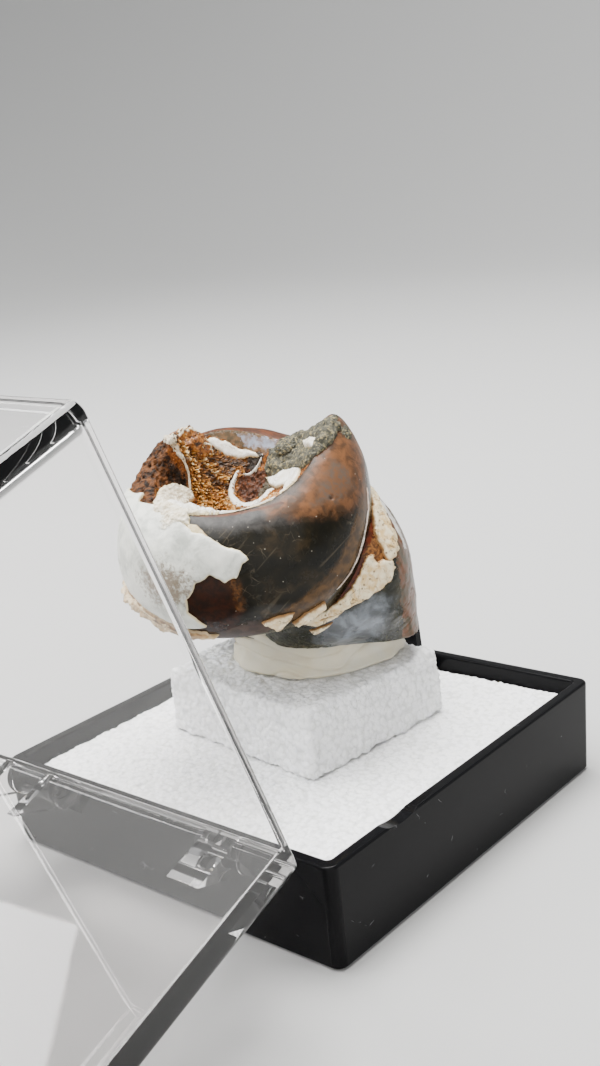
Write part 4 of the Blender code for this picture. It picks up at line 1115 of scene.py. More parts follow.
def add_web(outline, start, end, place):
    """A flat plate along X from its side view (y, z), in metres from a place."""
    piece = add_box((start, -1, -1), (end, 1, 1))
    corners = {(-1, 1): outline[0], (1, 1): outline[1], (1, -1): outline[2], (-1, -1): outline[3]}
    for (side, level), (y, z) in corners.items():
        pick(piece, "VERT", lambda co: round(co.y) == side and round(co.z) == level)
        bpy.ops.transform.translate(value=(0, y - side + CLEAR_OF_CUBE, z - level))
        done()
    pick(piece, "VERT", lambda co: True)
    bpy.ops.transform.translate(value=(place[0], place[1] - CLEAR_OF_CUBE, place[2]))
    done()
    return piece


def dome_end(piece, place, radius, dome):
    """Extrudes the end face nearest a place on X into a dome."""
    way = 1 if dome > 0 else -1
    last_radius, last_out = radius, 0.0
    for step in range(1, DOME_STEPS + 1):
        share = step / (DOME_STEPS + 0.4)
        out = dome * share
        now = radius * math.sqrt(1 - share**2)
        pick(piece, "FACE", lambda centre: way * centre.x > way * (place + last_out) - SAME_PLACE)
        bpy.ops.mesh.extrude_region_move(TRANSFORM_OT_translate={"value": (out - last_out, 0, 0)})
        bpy.ops.transform.resize(value=(1, now / last_radius, now / last_radius))
        done()
        last_radius, last_out = now, out


def combine(target, tool, operation):
    """Joins or cuts with another piece, which is then removed."""
    modifier = add_modifier(target, "BOOLEAN", operation=operation, solver="EXACT", object=tool)
    select_only(target)
    bpy.ops.object.modifier_apply(modifier=modifier.name)
    bpy.data.objects.remove(tool, do_unlink=True)


def round_sharp_edges(piece, width):
    """Rounds the sharp edges of a plain form, before anything small is joined to it."""
    pick(piece, "EDGE", lambda middle, way: False)
    bpy.ops.mesh.edges_select_sharp(sharpness=math.radians(40))
    bpy.ops.mesh.bevel(offset=width, segments=EDGE_STEPS, clamp_overlap=False)
    done()


def soften_edges(piece, width):
    """Rounds the sharp edges of a finished moulding and smooths the rest."""
    add_modifier(
        piece, "BEVEL", width=width, segments=EDGE_STEPS, limit_method="ANGLE", angle_limit=math.radians(34),
        use_clamp_overlap=True, harden_normals=False)
    apply_modifiers(piece)
    bpy.ops.object.shade_smooth_by_angle(angle=math.radians(40))
    add_modifier(piece, "WEIGHTED_NORMAL", keep_sharp=True, weight=100)
    apply_modifiers(piece)


# The box, in metres

BOX_HALF, BASE_HEIGHT, BASE_WALL, BASE_FLOOR = 0.027, 0.0123, 0.0015, 0.0015
BASE_DRAFT, LID_DRAFT = 0.00031, 0.00025
CORNER_RADIUS = 0.0013
HINGE_Y, HINGE_Z = -0.0298, 0.0121
BARREL_X, BALL_X = -0.0155, 0.0155
LID_DEPTH, LID_WALL, LID_RIM = 0.04435, 0.0024, 0.00045
BASE_WEB = ((0.0, -0.0003), (0.0034, -0.0003), (0.0034, -0.0053), (-0.0012, -0.0013))
LID_LUG = ((0.0004, -0.0007), (0.0033, 0.00062), (0.0033, 0.0077), (-0.0015, 0.0012))
TONGUE_TOP = 0.0190
# The stub pins and the bores that they turn in.
PIN_RADIUS, PIN_REACH, PIN_ROOT = 0.0008, 0.0011, 0.0003
BORE_RADIUS, BORE_DEPTH, BORE_OVERCUT = 0.00105, 0.0013, 0.0002
PIN_SIDES = 32


def knuckle(x, side, radius, inner, outer, dome, place):
    """A domed disc beside a hinge barrel, with its stub pin towards the middle."""
    ends = sorted((x + side * inner, x + side * outer))
    disc = add_rod(radius, *ends, *place)
    dome_end(disc, x + side * outer, radius, side * dome)
    pin_ends = sorted((x + side * (inner - PIN_REACH), x + side * (inner + PIN_ROOT)))
    combine(disc, add_rod(PIN_RADIUS, *pin_ends, *place, PIN_SIDES), "UNION")
    return disc


def bored_barrel(x, radius, half, place):
    """A hinge barrel with a blind bore in each end."""
    barrel = add_rod(radius, x - half, x + half, *place)
    for side in (-1, 1):
        ends = sorted((x + side * (half - BORE_DEPTH), x + side * (half + BORE_OVERCUT)))
        combine(barrel, add_rod(BORE_RADIUS, *ends, *place, PIN_SIDES), "DIFFERENCE")
    return barrel


def catch_tongue():
    """The upright catch tongue, with its rounded top and the bead that snaps over the lid's rim."""
    tongue = add_box((-0.0035, 0.0230, 0.0008), (0.0035, 0.0241, TONGUE_TOP))
    resize_end(tongue, lambda centre: centre.z > TONGUE_TOP - 1e-4, (0.74, 1, 1), (0, -0.00045, 0))
    pick(tongue, "EDGE", lambda middle, way: middle.z > TONGUE_TOP - 1e-4 and abs(way.y) > 0.9)
    bpy.ops.mesh.bevel(offset=0.0008, segments=6)
    done()
    combine(tongue, add_rod(0.00045, -0.00195, 0.00195, 0.0235, 0.0173, PIN_SIDES), "UNION")
    return tongue


class FOSSIL_OT_tray(bpy.types.Operator):
    """Models the black tray with its rim, finger scoop, catch tongue and hinge knuckles"""
    bl_idname = "fossil.tray"
    bl_label = "Black tray"

    def execute(self, context):
        tray = add_box((-BOX_HALF, -BOX_HALF, 0), (BOX_HALF, BOX_HALF, BASE_HEIGHT))
        round_upright_edges(tray, CORNER_RADIUS)
        narrow_end(tray, lambda centre: centre.z < SAME_PLACE, BOX_HALF, BASE_DRAFT)
        inner = BOX_HALF - BASE_WALL
        hollow = add_box((-inner, -inner, BASE_FLOOR), (inner, inner, BASE_HEIGHT + 0.002))
        round_upright_edges(hollow, 0.0005, 4)
        narrow_end(hollow, lambda centre: centre.z < BASE_FLOOR + SAME_PLACE, inner, BASE_DRAFT)
        combine(tray, hollow, "DIFFERENCE")
        round_sharp_edges(tray, 0.00035)
        scoop = add_rod(0.009, 0.0225, 0.0285, -0.0145, BASE_HEIGHT + 0.0085, 160)
        combine(tray, scoop, "DIFFERENCE")
        tongue_root = add_box((-0.0036, 0.0230, 0.0010), (0.0036, 0.0262, 0.0116))
        combine(tray, tongue_root, "UNION")
        combine(tray, catch_tongue(), "UNION")
        hinge = (HINGE_Y, HINGE_Z)
        combine(tray, add_web(BASE_WEB, -0.0025, 0.0025, (BARREL_X, *hinge)), "UNION")
        combine(tray, bored_barrel(BARREL_X, 0.0018, 0.00265, hinge), "UNION")
        for side in (-1, 1):
            ends = sorted((side * 0.00275, side * 0.00375))
            combine(tray, add_web(BASE_WEB, *ends, (BALL_X, *hinge)), "UNION")
            combine(tray, knuckle(BALL_X, side, 0.0019, 0.0026, 0.0039, 0.0007, hinge), "UNION")
        soften_edges(tray, 0.00033)
        finish_piece(tray, "black_tray", tray_finish(), "base", "box_base")
        return {"FINISHED"}


def lid_rest_angle():
    """How far the lid is open when the far edge of its hinge wall lies on the ground."""
    out = -HINGE_Y - BOX_HALF + LID_DRAFT
    up = LID_DEPTH - 0.0003
    return math.atan2(out, up) + math.acos(-HINGE_Z / math.hypot(out, up))


class FOSSIL_OT_lid(bpy.types.Operator):
    """Models the clear lid closed about its hinge axis, then swings it open to rest on the ground"""
    bl_idname = "fossil.lid"
    bl_label = "Clear lid"

    def execute(self, context):
        middle = -HINGE_Y
        near, far = middle - BOX_HALF, middle + BOX_HALF
        cover = add_box((-BOX_HALF, near, LID_RIM), (BOX_HALF, far, LID_DEPTH))
        round_upright_edges(cover, CORNER_RADIUS)
        narrow_end(cover, lambda centre: centre.z > LID_DEPTH - SAME_PLACE, BOX_HALF, LID_DRAFT)
        inner, ceiling = BOX_HALF - LID_WALL, LID_DEPTH - LID_WALL
        hollow = add_box((-inner, middle - inner, -0.001), (inner, middle + inner, ceiling))
        round_upright_edges(hollow, 0.00075, 4)
        narrow_end(hollow, lambda centre: centre.z > ceiling - SAME_PLACE, inner, LID_DRAFT)
        combine(cover, hollow, "DIFFERENCE")
        round_sharp_edges(cover, 0.00037)
        at_axis = (0, 0)
        for side in (-1, 1):
            ends = sorted((side * 0.00305, side * 0.00445))
            combine(cover, add_web(LID_LUG, *ends, (BARREL_X, *at_axis)), "UNION")
            combine(cover, knuckle(BARREL_X, side, 0.00215, 0.0029, 0.0046, 0.00035, at_axis), "UNION")
        combine(cover, add_web(LID_LUG, -0.0022, 0.0022, (BALL_X, *at_axis)), "UNION")
        combine(cover, bored_barrel(BALL_X, 0.0020, 0.00235, at_axis), "UNION")
        soften_edges(cover, 0.00028)
        cover.rotation_euler.x = lid_rest_angle()
        cover.location = (0, HINGE_Y, HINGE_Z)
        finish_piece(cover, "clear_lid", lid_finish(), "lid", "lid")
        return {"FINISHED"}


# The foam and the putty, in metres unless a name says otherwise

SHEET_HALF, SHEET_BOTTOM, SHEET_TOP = 0.0249, 0.0018, 0.0110
# Half the width of the notch round the catch tongue, and where the notch starts.
NOTCH_HALF, NOTCH_START = 0.0039, 0.0227
BLOCK_WIDE, BLOCK_DEEP, BLOCK_LOW, BLOCK_HIGH = 0.0139, 0.01215, 0.0109, 0.0194
BLOCK_PLACE, BLOCK_TURN = (-0.0013, 0.0025, 0), math.radians(-5.5)
# The putty's outline in millimetres: share of its rise and radius there.
PUTTY_PROFILE = (
    (0.0, 10.6), (0.05, 10.75), (0.2, 10.4), (0.45, 10.15), (0.7, 10.2), (0.92, 10.0), (1.0, 9.4),
)
PUTTY_X, PUTTY_Y, PUTTY_BOTTOM, PUTTY_RISE = -0.6, 6.2, 19.7, 6.3


class FOSSIL_OT_foam(bpy.types.Operator):
    """Models the foam sheet in the tray and the rough foam block on it"""
    bl_idname = "fossil.foam"
    bl_label = "Foam sheet and block"

    def execute(self, context):
        self.make_sheet(box_settings())
        self.make_block(box_settings())
        return {"FINISHED"}

    def make_sheet(self, settings):
        deselect()
        count = round(2 * SHEET_HALF / settings.foam_cell)
        bpy.ops.mesh.primitive_grid_add(
            x_subdivisions=count, y_subdivisions=count, size=2 * SHEET_HALF,
            location=(0, 0, SHEET_TOP - 0.0002))
        sheet = bpy.context.object
        bpy.ops.object.transform_apply(location=True, rotation=True, scale=True)
        pick(sheet, "FACE", lambda centre: abs(centre.x) < NOTCH_HALF and centre.y > NOTCH_START)
        bpy.ops.mesh.delete(type="FACE")
        done()
        self.roughen(sheet, settings.foam_grain, 0.00034, 0.0002)
        edge_dip(sheet)
        pick(sheet, "EDGE", lambda middle, way: False)
        bpy.ops.mesh.select_all(action="SELECT")
        bpy.ops.mesh.region_to_loop()
        for share in (0.6, 0.35):
            down = (0, 0, -(SHEET_TOP - SHEET_BOTTOM) * share)
            bpy.ops.mesh.extrude_edges_move(TRANSFORM_OT_translate={"value": down})
        bpy.ops.transform.resize(value=(1, 1, 0))
        bpy.ops.mesh.edge_face_add()
        done()
        face_outwards(sheet)
        bpy.ops.object.shade_smooth_by_angle(angle=math.radians(60))
        finish_piece(sheet, "foam_lining", foam_finish("white_foam"), "base", "foam_sheet")

    def make_block(self, settings):
        block = add_box((-BLOCK_WIDE, -BLOCK_DEEP, BLOCK_LOW), (BLOCK_WIDE, BLOCK_DEEP, BLOCK_HIGH))
        resize_end(block, lambda centre: centre.z > BLOCK_HIGH - SAME_PLACE, (0.968, 0.965, 1))
        pick(block, "EDGE", lambda middle, way: middle.z > BLOCK_LOW + 1e-4)
        bpy.ops.mesh.bevel(offset=0.0006, segments=2)
        done()
        add_modifier(block, "REMESH", mode="VOXEL", voxel_size=0.00027)
        add_modifier(block, "SMOOTH", factor=0.5, iterations=2)
        apply_modifiers(block)
        self.roughen(block, settings.foam_grain, 0.0004, 0.0008)
        block.location = BLOCK_PLACE
        block.rotation_euler.z = BLOCK_TURN
        bpy.ops.object.shade_smooth()
        finish_piece(block, "foam_riser", foam_finish("white_block_foam"), "base", "foam_block")

    def roughen(self, piece, grain, depth, wave):
        """Gives the foam a slow wave, its grains and a fine fuzz."""
        for name, kind, size, strength, middle in (
            ("foam_wave", "CLOUDS", 0.0032, wave, 0.5),
            ("foam_grain", "VORONOI", grain, -depth, 0.35),
            ("foam_fuzz", "CLOUDS", 0.0004, depth * 0.9, 0.5),
        ):
            texture = bumps(name, kind, size)
            add_modifier(piece, "DISPLACE", texture=texture, strength=strength, mid_level=middle)
        apply_modifiers(piece)


def vertex_places(mesh):
    places = np.empty(len(mesh.vertices) * 3)
    mesh.vertices.foreach_get("co", places)
    return places.reshape(-1, 3)


def move_vertices(mesh, places):
    mesh.vertices.foreach_set("co", places.ravel())
    mesh.update()


def edge_dip(sheet):
    """Lets the foam sheet's border sink and crumble a little where it was cut."""
    places = vertex_places(sheet.data)
    gap = SHEET_HALF - np.abs(places[:, :2]).max(axis=1)
    dip = 1 - ease(gap, 0.0, 0.0011)
    uneven = smooth_noise(places, 0.0021) * 0.5 + 0.5
    places[:, 2] -= dip * (0.0002 + 0.0007 * uneven)
    places[:, 2] = np.minimum(places[:, 2], SHEET_TOP + 0.00035)
    places[:, :2] *= 1 - (dip * 0.0004 * smooth_noise(places + 1.0, 0.0012) / SHEET_HALF)[:, None]
    places[:, :2] = np.clip(places[:, :2], -0.0251, 0.0251)
    move_vertices(sheet.data, places)


def putty_points(azimuths, reaches):
    """Places on the putty's side in millimetres, with slow folds and sharp creases."""
    turns = np.radians(azimuths)
    rise = np.clip(reaches, 0, 1)
    radius = np.interp(rise, *np.array(PUTTY_PROFILE).T)
    radius = radius * (1 + 0.035 * np.sin(2 * turns) + 0.02 * np.sin(5 * turns + 2 * rise))
    heights = PUTTY_BOTTOM + PUTTY_RISE * rise
    points = np.stack([PUTTY_X + radius * np.cos(turns), PUTTY_Y + radius * np.sin(turns), heights], axis=1)
    folds = smooth_noise(points * (1, 1, 2.2), 3.2) * 0.38 + smooth_noise(points, 1.1) * 0.1
    waves = np.sin(heights * 1.9 + 3 * smooth_noise(points, 5.0))
    creases = 0.22 * np.exp(-((waves / 0.22) ** 2))
    out = np.stack([np.cos(turns), np.sin(turns), np.zeros_like(turns)], axis=1)
    return points + out * (folds - creases)[:, None]


class FOSSIL_OT_putty(bpy.types.Operator):
    """Models the squashed wad of mounting putty, with folds and creases"""
    bl_idname = "fossil.putty"
    bl_label = "Mounting putty"

    def execute(self, context):
        levels = (PUTTY_BOTTOM, PUTTY_BOTTOM + PUTTY_RISE)
        poles = [(PUTTY_X, PUTTY_Y, level) for level in levels]
        azimuths, reaches, points, faces = ring_grid(putty_points, 260, np.linspace(0.0, 1.0, 70), poles)
        wad = mesh_piece(points * MM, faces)
        finish_piece(wad, "putty_wad", putty_finish(), "base", "putty")
        return {"FINISHED"}


# The fossil

def fossil_piece(piece, name, material):
    finish_piece(piece, name, material, "base", "fossil_shell")
    return piece


def region(name, azimuths, reaches):
    """Share from 0 outside one of the upper whorl's stains to 1 inside it."""
    return ease(stain_depths({name: UPPER_STAINS[name]}, azimuths, reaches)[name], -0.4, 0.6)


def cast_piece(points, faces, depths):
    """A closed cast of stone that carries the depths of its stains. Its two end points have none."""
    attributes = {name: np.append(values, [FAR_OUTSIDE] * 2) for name, values in depths.items()}
    if "pit" in attributes:
        attributes["pit"][-2] = FAR_INSIDE
    return mesh_piece(placed(points), faces, attributes)


class FOSSIL_OT_upper_whorl(bpy.types.Operator):
    """Models the stone cast of the upper whorl with its sunken pit, stains and porous patch"""
    bl_idname = "fossil.upper_whorl"
    bl_label = "Upper whorl cast"

    def execute(self, context):
        rows = np.concatenate([
            np.linspace(0.02, 1.0, 64), np.linspace(1.012, 2.3, 100), np.linspace(2.32, 3.0, 38)])
        poles = [(0, 0, PIT_FLOOR), upper_points(np.arange(0.0, 360, 5), np.full(72, 3.0)).mean(axis=0)]
        columns = specimen_settings().upper_columns
        azimuths, reaches, points, faces = ring_grid(upper_points, columns, rows, poles)
        surface = points[:-2]
        normals = whorl_normals(upper_points, azimuths, reaches)
        depths = stain_depths(UPPER_STAINS, azimuths, reaches)
        for name, outline in PIT_STAINS.items():
            depths[name] = np.where(reaches < 1.02, outline_depth(surface[:, :2], outline), FAR_OUTSIDE)
        depths["pit"] = (0.985 - reaches) * MEAN_SECTION
        surface += normals * self.relief(surface, azimuths, reaches, depths)[:, None]
        fossil_piece(cast_piece(points, faces, depths), "cast_upper_whorl", upper_cast_finish())
        return {"FINISHED"}

    def relief(self, surface, azimuths, reaches, depths):
        """Waves, the porous patch's holes, the pit's broken ground and the salmon patch's dents."""
        relief = 0.10 * smooth_noise(surface, 4.6) + 0.018 * smooth_noise(surface, 1.5)
        bent = surface + 0.25 * smooth_noise(surface, 0.8)[:, None]
        holes = ease(cell_noise(bent, 0.85), 0.42, 0.12)
        porous = region("porous", azimuths, reaches)
        relief += porous * (0.25 * smooth_noise(surface, 0.9, 3) - 0.45 * holes)
        calm = ease(np.maximum(depths["nacre"], depths["rear_wall"]), -0.4, 0.5)
        broken = ease(reaches, 1.0, 0.9) * (1 - 0.85 * calm)
        hollows = ease(cell_noise(surface, 0.7), 0.5, 0.15)
        relief += broken * (0.30 * smooth_noise(surface, 0.8, 4) - 0.25 * hollows)
        dents = ease(cell_noise(surface, 1.7), 0.20, 0.08) * ease(smooth_noise(surface, 3.0), 0.0, 0.3)
        salmon = region("salmon", azimuths, reaches)
        relief -= salmon * (0.34 * dents + 0.015 * smooth_noise(surface, 0.8, 2))
        return relief


class FOSSIL_OT_lower_whorl(bpy.types.Operator):
    """Models the stone cast of the wider lower whorl, sawn flat underneath"""
    bl_idname = "fossil.lower_whorl"
    bl_label = "Lower whorl cast"

    def execute(self, context):
        core_end = 2.7
        rows = np.concatenate([np.linspace(0.0, 1.0, 80), np.linspace(1.02, 2.0, 60), [2.3, core_end]])
        foot = lower_points([0.0], [core_end])[0, 2]
        poles = [(0, 0, LOWER_CORE), (0, 0, foot)]
        azimuths, reaches, points, faces = ring_grid(lower_points, 400, rows, poles)
        surface = points[:-2]
        straight = reaches > 2.0
        base = lower_points(azimuths, np.full(len(azimuths), 2.0))
        surface[straight, :2] = base[straight, :2]
        points[-1, 2] = surface[straight, 2].min()
        surface[reaches > 2.6, 2] = points[-1, 2]
        normals = whorl_normals(lower_points, azimuths, np.minimum(reaches, 1.95))
        depths = stain_depths(LOWER_STAINS, azimuths, reaches)
        relief = 0.10 * smooth_noise(surface, 3.0) + 0.05 * smooth_noise(surface, 0.9, 3)
        relief -= 0.12 * ease(np.abs(smooth_noise(surface * (1, 1, 0.7), 2.2)), 0.03, 0.0)
        shown = reaches < 2.2
        surface += normals * (relief * shown)[:, None]
        cast = cast_piece(points, faces, depths)
        self.saw_flat((0, 0.0099, specimen_settings().cut_level))
        fossil_piece(cast, "cast_lower_whorl", lower_cast_finish())
        return {"FINISHED"}

    def saw_flat(self, place):
        """Cuts the selected cast with a slightly tilted plane through a place."""
        bpy.ops.object.mode_set(mode="EDIT")
        bpy.ops.mesh.select_all(action="SELECT")
        bpy.ops.mesh.bisect(plane_co=place, plane_no=(0, 0.08, 1), use_fill=True, clear_inner=True)
        done()


class FOSSIL_OT_white_wall(bpy.types.Operator):
    """Models the large patch of white shell wall, with its torn edge and crumbly corner"""
    bl_idname = "fossil.white_wall"
    bl_label = "White shell wall"

    def execute(self, context):
        lift = specimen_settings().wall_lift / MM
        place_on = on_whorl(upper_points)
        patch = wall_piece(flat_corners(WHITE_PATCH), place_on, lift, 0.5, 0.22, 0.2)
        mark_patch(patch)
        chalky = white_wall_finish()
        fossil_piece(patch, "white_wall_patch", chalky)
        corner = wall_piece(
            flat_corners(CRUMBLY_CORNER), place_on, 0.5, 0.6, 0.2, 0.26, roughness=0.17, grain=0.6)
        store(corner, "crumbly", np.full(len(corner.data.vertices), 3.0))
        store(corner, "dirt", np.full(len(corner.data.vertices), -5.0))
        fossil_piece(corner, "crumbly_wall_corner", chalky)
        return {"FINISHED"}


def mark_patch(patch):
    """Marks where the white wall is dirty near its foot and crumbly near the spike."""
    to_shell = np.array(shell_matrix().inverted())
    places = vertex_places(patch.data) @ to_shell[:3, :3].T + to_shell[:3, 3]
    azimuths = np.degrees(np.arctan2(places[:, 1], places[:, 0])) % 360
    from_dirt = np.hypot((azimuths - 233) * ACROSS * 0.62, places[:, 2] - 2.4)
    from_corner = np.hypot((azimuths - 231) * ACROSS * 0.6, places[:, 2] - 9.0)
    store(patch, "dirt", 3.6 - from_dirt)
    store(patch, "crumbly", 0.9 - from_corner)


class FOSSIL_OT_wall_scraps(bpy.types.Operator):
    """Models the layered torn lip, the cream plates by the suture and the splinters below them"""
    bl_idname = "fossil.wall_scraps"
    bl_label = "Torn lip and cream plates"

    def execute(self, context):
        self.make_lip()
        cream = cream_wall_finish(
            "cream_wall", (0.80, 0.70, 0.48), (0.61, 0.41, 0.17), (0.33, 0.17, 0.06), 0.8)
        for name, outline in SUTURE_PLATES.items():
            plate = wall_piece(
                flat_corners(outline), on_whorl(lower_points), 0.6, 0.5, 0.17, 0.2,
                roughness=0.13, rounding=0.16, grain=0.55)
            fossil_piece(plate, name, cream)
        for name, (whorl, outline) in SPLINTERS.items():
            surface = upper_points if whorl == "upper" else lower_points
            splinter = wall_piece(
                flat_corners(outline), on_whorl(surface), 0.5, 0.5, 0.14, 0.12,
                roughness=0.09, rounding=0.1, grain=0.5)
            fossil_piece(splinter, name, cream)
        worn = wall_piece(
            flat_corners(WORN_EDGE), on_whorl(upper_points), 0.24, 0.4, 0.18, 0.12, rounding=0.2, grain=0.6)
        fossil_piece(worn, "worn_wall_edge", cream_wall_finish(
            "worn_wall", (0.62, 0.54, 0.33), (0.50, 0.38, 0.18), (0.30, 0.20, 0.09), 0.3))
        line = whorl_ridge(
            np.linspace(348, 312, 120), (312, 321, 328, 334.5, 343, 348),
            (2.24, 2.18, 2.12, 2.06, 1.98, 1.84), (0.08, 0.14, 0.06), (0.1, 0.14, 0.1), 0.3, 0.8)
        fossil_piece(line, "suture_wall_line", cream_wall_finish(
            "suture_wall", (0.74, 0.66, 0.58), (0.60, 0.44, 0.36), (0.40, 0.24, 0.14), 0.4))
        return {"FINISHED"}

    def make_lip(self):
        """Models the torn lip under the white patch: cream leaves of wall with dark gaps between them."""
        bed = wall_piece(
            flat_corners(TORN_LIP), on_whorl(upper_points), 0.55, 0.6, 0.22, 0.3, roughness=0.12, grain=0.7)
        fossil_piece(bed, "torn_lip_bed", cream_wall_finish(
            "lip_bed", (0.44, 0.27, 0.11), (0.15, 0.075, 0.030), (0.62, 0.47, 0.28), 1.0, 0.8))
        cream = cream_wall_finish(
            "lip_leaf", (0.80, 0.66, 0.43), (0.58, 0.39, 0.19), (0.2, 0.1, 0.04), 0.8, 0.7)
        for number, (stations, levels, heights) in enumerate(LIP_LEAVES, 1):
            leaf = whorl_ridge(
                np.linspace(stations[0], stations[-1], 200), stations, levels,
                (0.16, 0.22, 0.28, 0.26, 0.24, 0.14), heights, 0.5, 0.55)
            fossil_piece(leaf, f"torn_lip_leaf_{number}", cream)


RIDGE_SIDES = 14
# How many places from each end a ridge narrows over, and how wide it is at its very end.
RIDGE_TAPER, RIDGE_END = 4.0, 0.35


def ridge_piece(path, ups, half_widths, heights, sink, ragged=0.3):
    """A thin standing wall along a path of points and upward directions in the shell's axes.

    Its half width and its height run through the given ones, which are evenly spaced along it.
    """
    sides = np.cross(ups, np.gradient(path, axis=0))
    sides /= np.linalg.norm(sides, axis=1)[:, None] + TINY
    from_end = np.minimum(np.arange(len(path)), np.arange(len(path))[::-1])
    taper = RIDGE_END + (1 - RIDGE_END) * np.clip(from_end / RIDGE_TAPER, 0, 1)
    along = np.linspace(0, 1, len(path))
    half_width = np.interp(along, np.linspace(0, 1, len(half_widths)), half_widths)
    height = np.interp(along, np.linspace(0, 1, len(heights)), heights)
    uneven = smooth_noise(path, 1.1)
    rings = []
    for step in range(RIDGE_SIDES):
        turn = 2 * math.pi * step / RIDGE_SIDES
        out, up = math.cos(turn), math.sin(turn)
        width = half_width * (1 + 0.35 * ragged * smooth_noise(path + 3 * step, 0.7))
        width *= math.copysign(abs(out) ** 0.6, out)
        if up > 0:
            rise = height * (1 + ragged * (uneven + 0.6 * smooth_noise(path + step, 0.45))) * up * taper
        else:
            rise = np.full(len(path), sink * up)
        rings.append(path + sides * (width * taper)[:, None] + ups * rise[:, None])
    faces = []
    for ring in range(len(path) - 1):
        here, ahead = ring * RIDGE_SIDES, (ring + 1) * RIDGE_SIDES
        for step in range(RIDGE_SIDES):
            after = (step + 1) % RIDGE_SIDES
            faces.append((here + step, here + after, ahead + after, ahead + step))
    last = (len(path) - 1) * RIDGE_SIDES
    faces.append(tuple(range(RIDGE_SIDES)))
    faces.append(tuple(last + step for step in reversed(range(RIDGE_SIDES))))
    points = np.stack(rings, axis=1).reshape(-1, 3)
    return mesh_piece(placed(points), faces, {"inside": np.full(len(points), 0.5)})


def whorl_ridge(azimuths, stations, levels, *shape):
    """A ridge along the upper whorl, at the levels that are given for some azimuths."""
    reaches = np.interp(azimuths, stations, levels)
    ups = whorl_normals(upper_points, azimuths, reaches)
    return ridge_piece(upper_points(azimuths, reaches), ups, *shape)


def resampled(corners, pitch=0.14):
    """Points every `pitch` along a smooth curve through corners."""
    corners = np.asarray(corners, float)
    steps = np.linalg.norm(np.diff(corners, axis=0), axis=1)
    lengths = np.concatenate([[0], np.cumsum(steps)])
    places = np.linspace(0, lengths[-1], max(6, int(lengths[-1] / pitch)))
    curve = np.stack([np.interp(places, lengths, values) for values in corners.T], axis=1)
    for turn in range(4):
        curve[1:-1] = (curve[:-2] + 2 * curve[1:-1] + curve[2:]) / 4
    return curve


class FOSSIL_OT_pit(bpy.types.Operator):
    """Models the walls of the inner whorls that show in the pit, its lip line and its crystals"""
    bl_idname = "fossil.pit"
    bl_label = "Pit walls and crystals"

    def execute(self, context):
        white = cream_wall_finish(
            "inner_white_wall", (0.82, 0.80, 0.74), (0.66, 0.61, 0.50), (0.58, 0.47, 0.28), 0.3)
        for name, outline, cell, tear, grain in (
            ("inner_wall_triangle", PIT_TRIANGLE, 0.17, 0.14, 1.1),
            ("inner_wall_strip", REAR_STRIP, 0.16, 0.16, 0.7),
        ):
            wall = wall_piece(outline, on_pit, 0.42, 0.6, cell, tear, rounding=0.16, grain=grain)
            fossil_piece(wall, name, white)
        for name, corners, half_widths, heights in (
            ("inner_wall_crescent", CRESCENT, (0.12, 0.55, 0.62), (0.4, 0.34, 0.3)),
            ("inner_wall_thin", THIN_WALL, (0.07, 0.09, 0.07), (0.12, 0.16, 0.16)),
        ):
            path = pit_points(*resampled(corners).T)
            ups = np.tile((0.0, 0.0, 1.0), (len(path), 1))
            fossil_piece(ridge_piece(path, ups, half_widths, heights, 0.6), name, white)
        line = whorl_ridge(
            np.linspace(203, 303, 220), (203, 240, 270, 303), (0.95, 0.965, 0.98, 1.0),
            (0.45, 0.6, 0.6, 0.58, 0.5, 0.38, 0.24, 0.17, 0.15, 0.15, 0.14),
            (0.3, 0.6, 0.9, 1.1, 1.1, 0.85, 0.4, 0.2, 0.14, 0.12, 0.1), 0.3, 0.4)
        fossil_piece(line, "rim_wall_line", white)
        self.grow_crystals()
        return {"FINISHED"}

    def grow_crystals(self):
        """Grows the crystals of the pit's wall and of the flap as one piece."""
        chance = random.Random(specimen_settings().seed)
        total = specimen_settings().crystals
        grown = []
        for area, share, low, high, tall in CRYSTAL_AREAS:
            for x, y in scattered(chance, area, int(total * share)):
                rim = sections(UPPER_WHORL, [math.degrees(math.atan2(y, x))])[0, 0]
                if math.hypot(x, y) > rim * 0.97:
                    continue
                base, normal, fan, streak = pit_growth(x, y)
                lift = 0.36 * min(1.0, max(0.0, (3.6 - y) / 1.8))
                grown.append((base, normal, fan, streak, min(low + lift, high), high, tall))
        share, low, high, tall = FLAP_CRYSTALS
        for u, v in scattered(chance, FLAP, int(total * share)):
            points, normals = on_flap(np.array([(u, v)]))
            fan = FLAP_ACROSS * 0.55 - FLAP_UP * 0.85
            streak = noise.noise(Vector((2.2 * (u + 0.55 * v), 0.3 * v, 4.0)))
            grown.append((points[0], normals[0], fan, streak, low, high, tall))
        points, faces, shades = [], [], []
        for crystal in grown:
            add_crystal(chance, crystal, points, faces, shades)
        cluster = mesh_piece(placed(np.array(points)), faces, {"shade": shades})
        cluster.data.shade_flat()
        fossil_piece(cluster, "pit_crystals", crystal_finish())


# Where the pit's crystals fan out from, a place across the coiling axis.
FAN_X, FAN_Y = -6.5, 8.0
CRYSTAL_SIDES = 5


def pit_growth(x, y):
    """A crystal's base on the pit's wall, its normal, the way it fans and how light its streak is."""
    base = pit_points(np.array([x]), np.array([y]))[0]
    normal = pit_normals(np.array([x]), np.array([y]))[0]
    fan = np.array([x - FAN_X, y - FAN_Y, 0.0])
    fan /= np.linalg.norm(fan) + 0.5
    across, along = math.atan2(y - 8.5, x + 7.0), math.hypot(y - 8.5, x + 7.0)
    return base, normal, fan, noise.noise(Vector((across * 9.0, 0.25 * along, 0)))


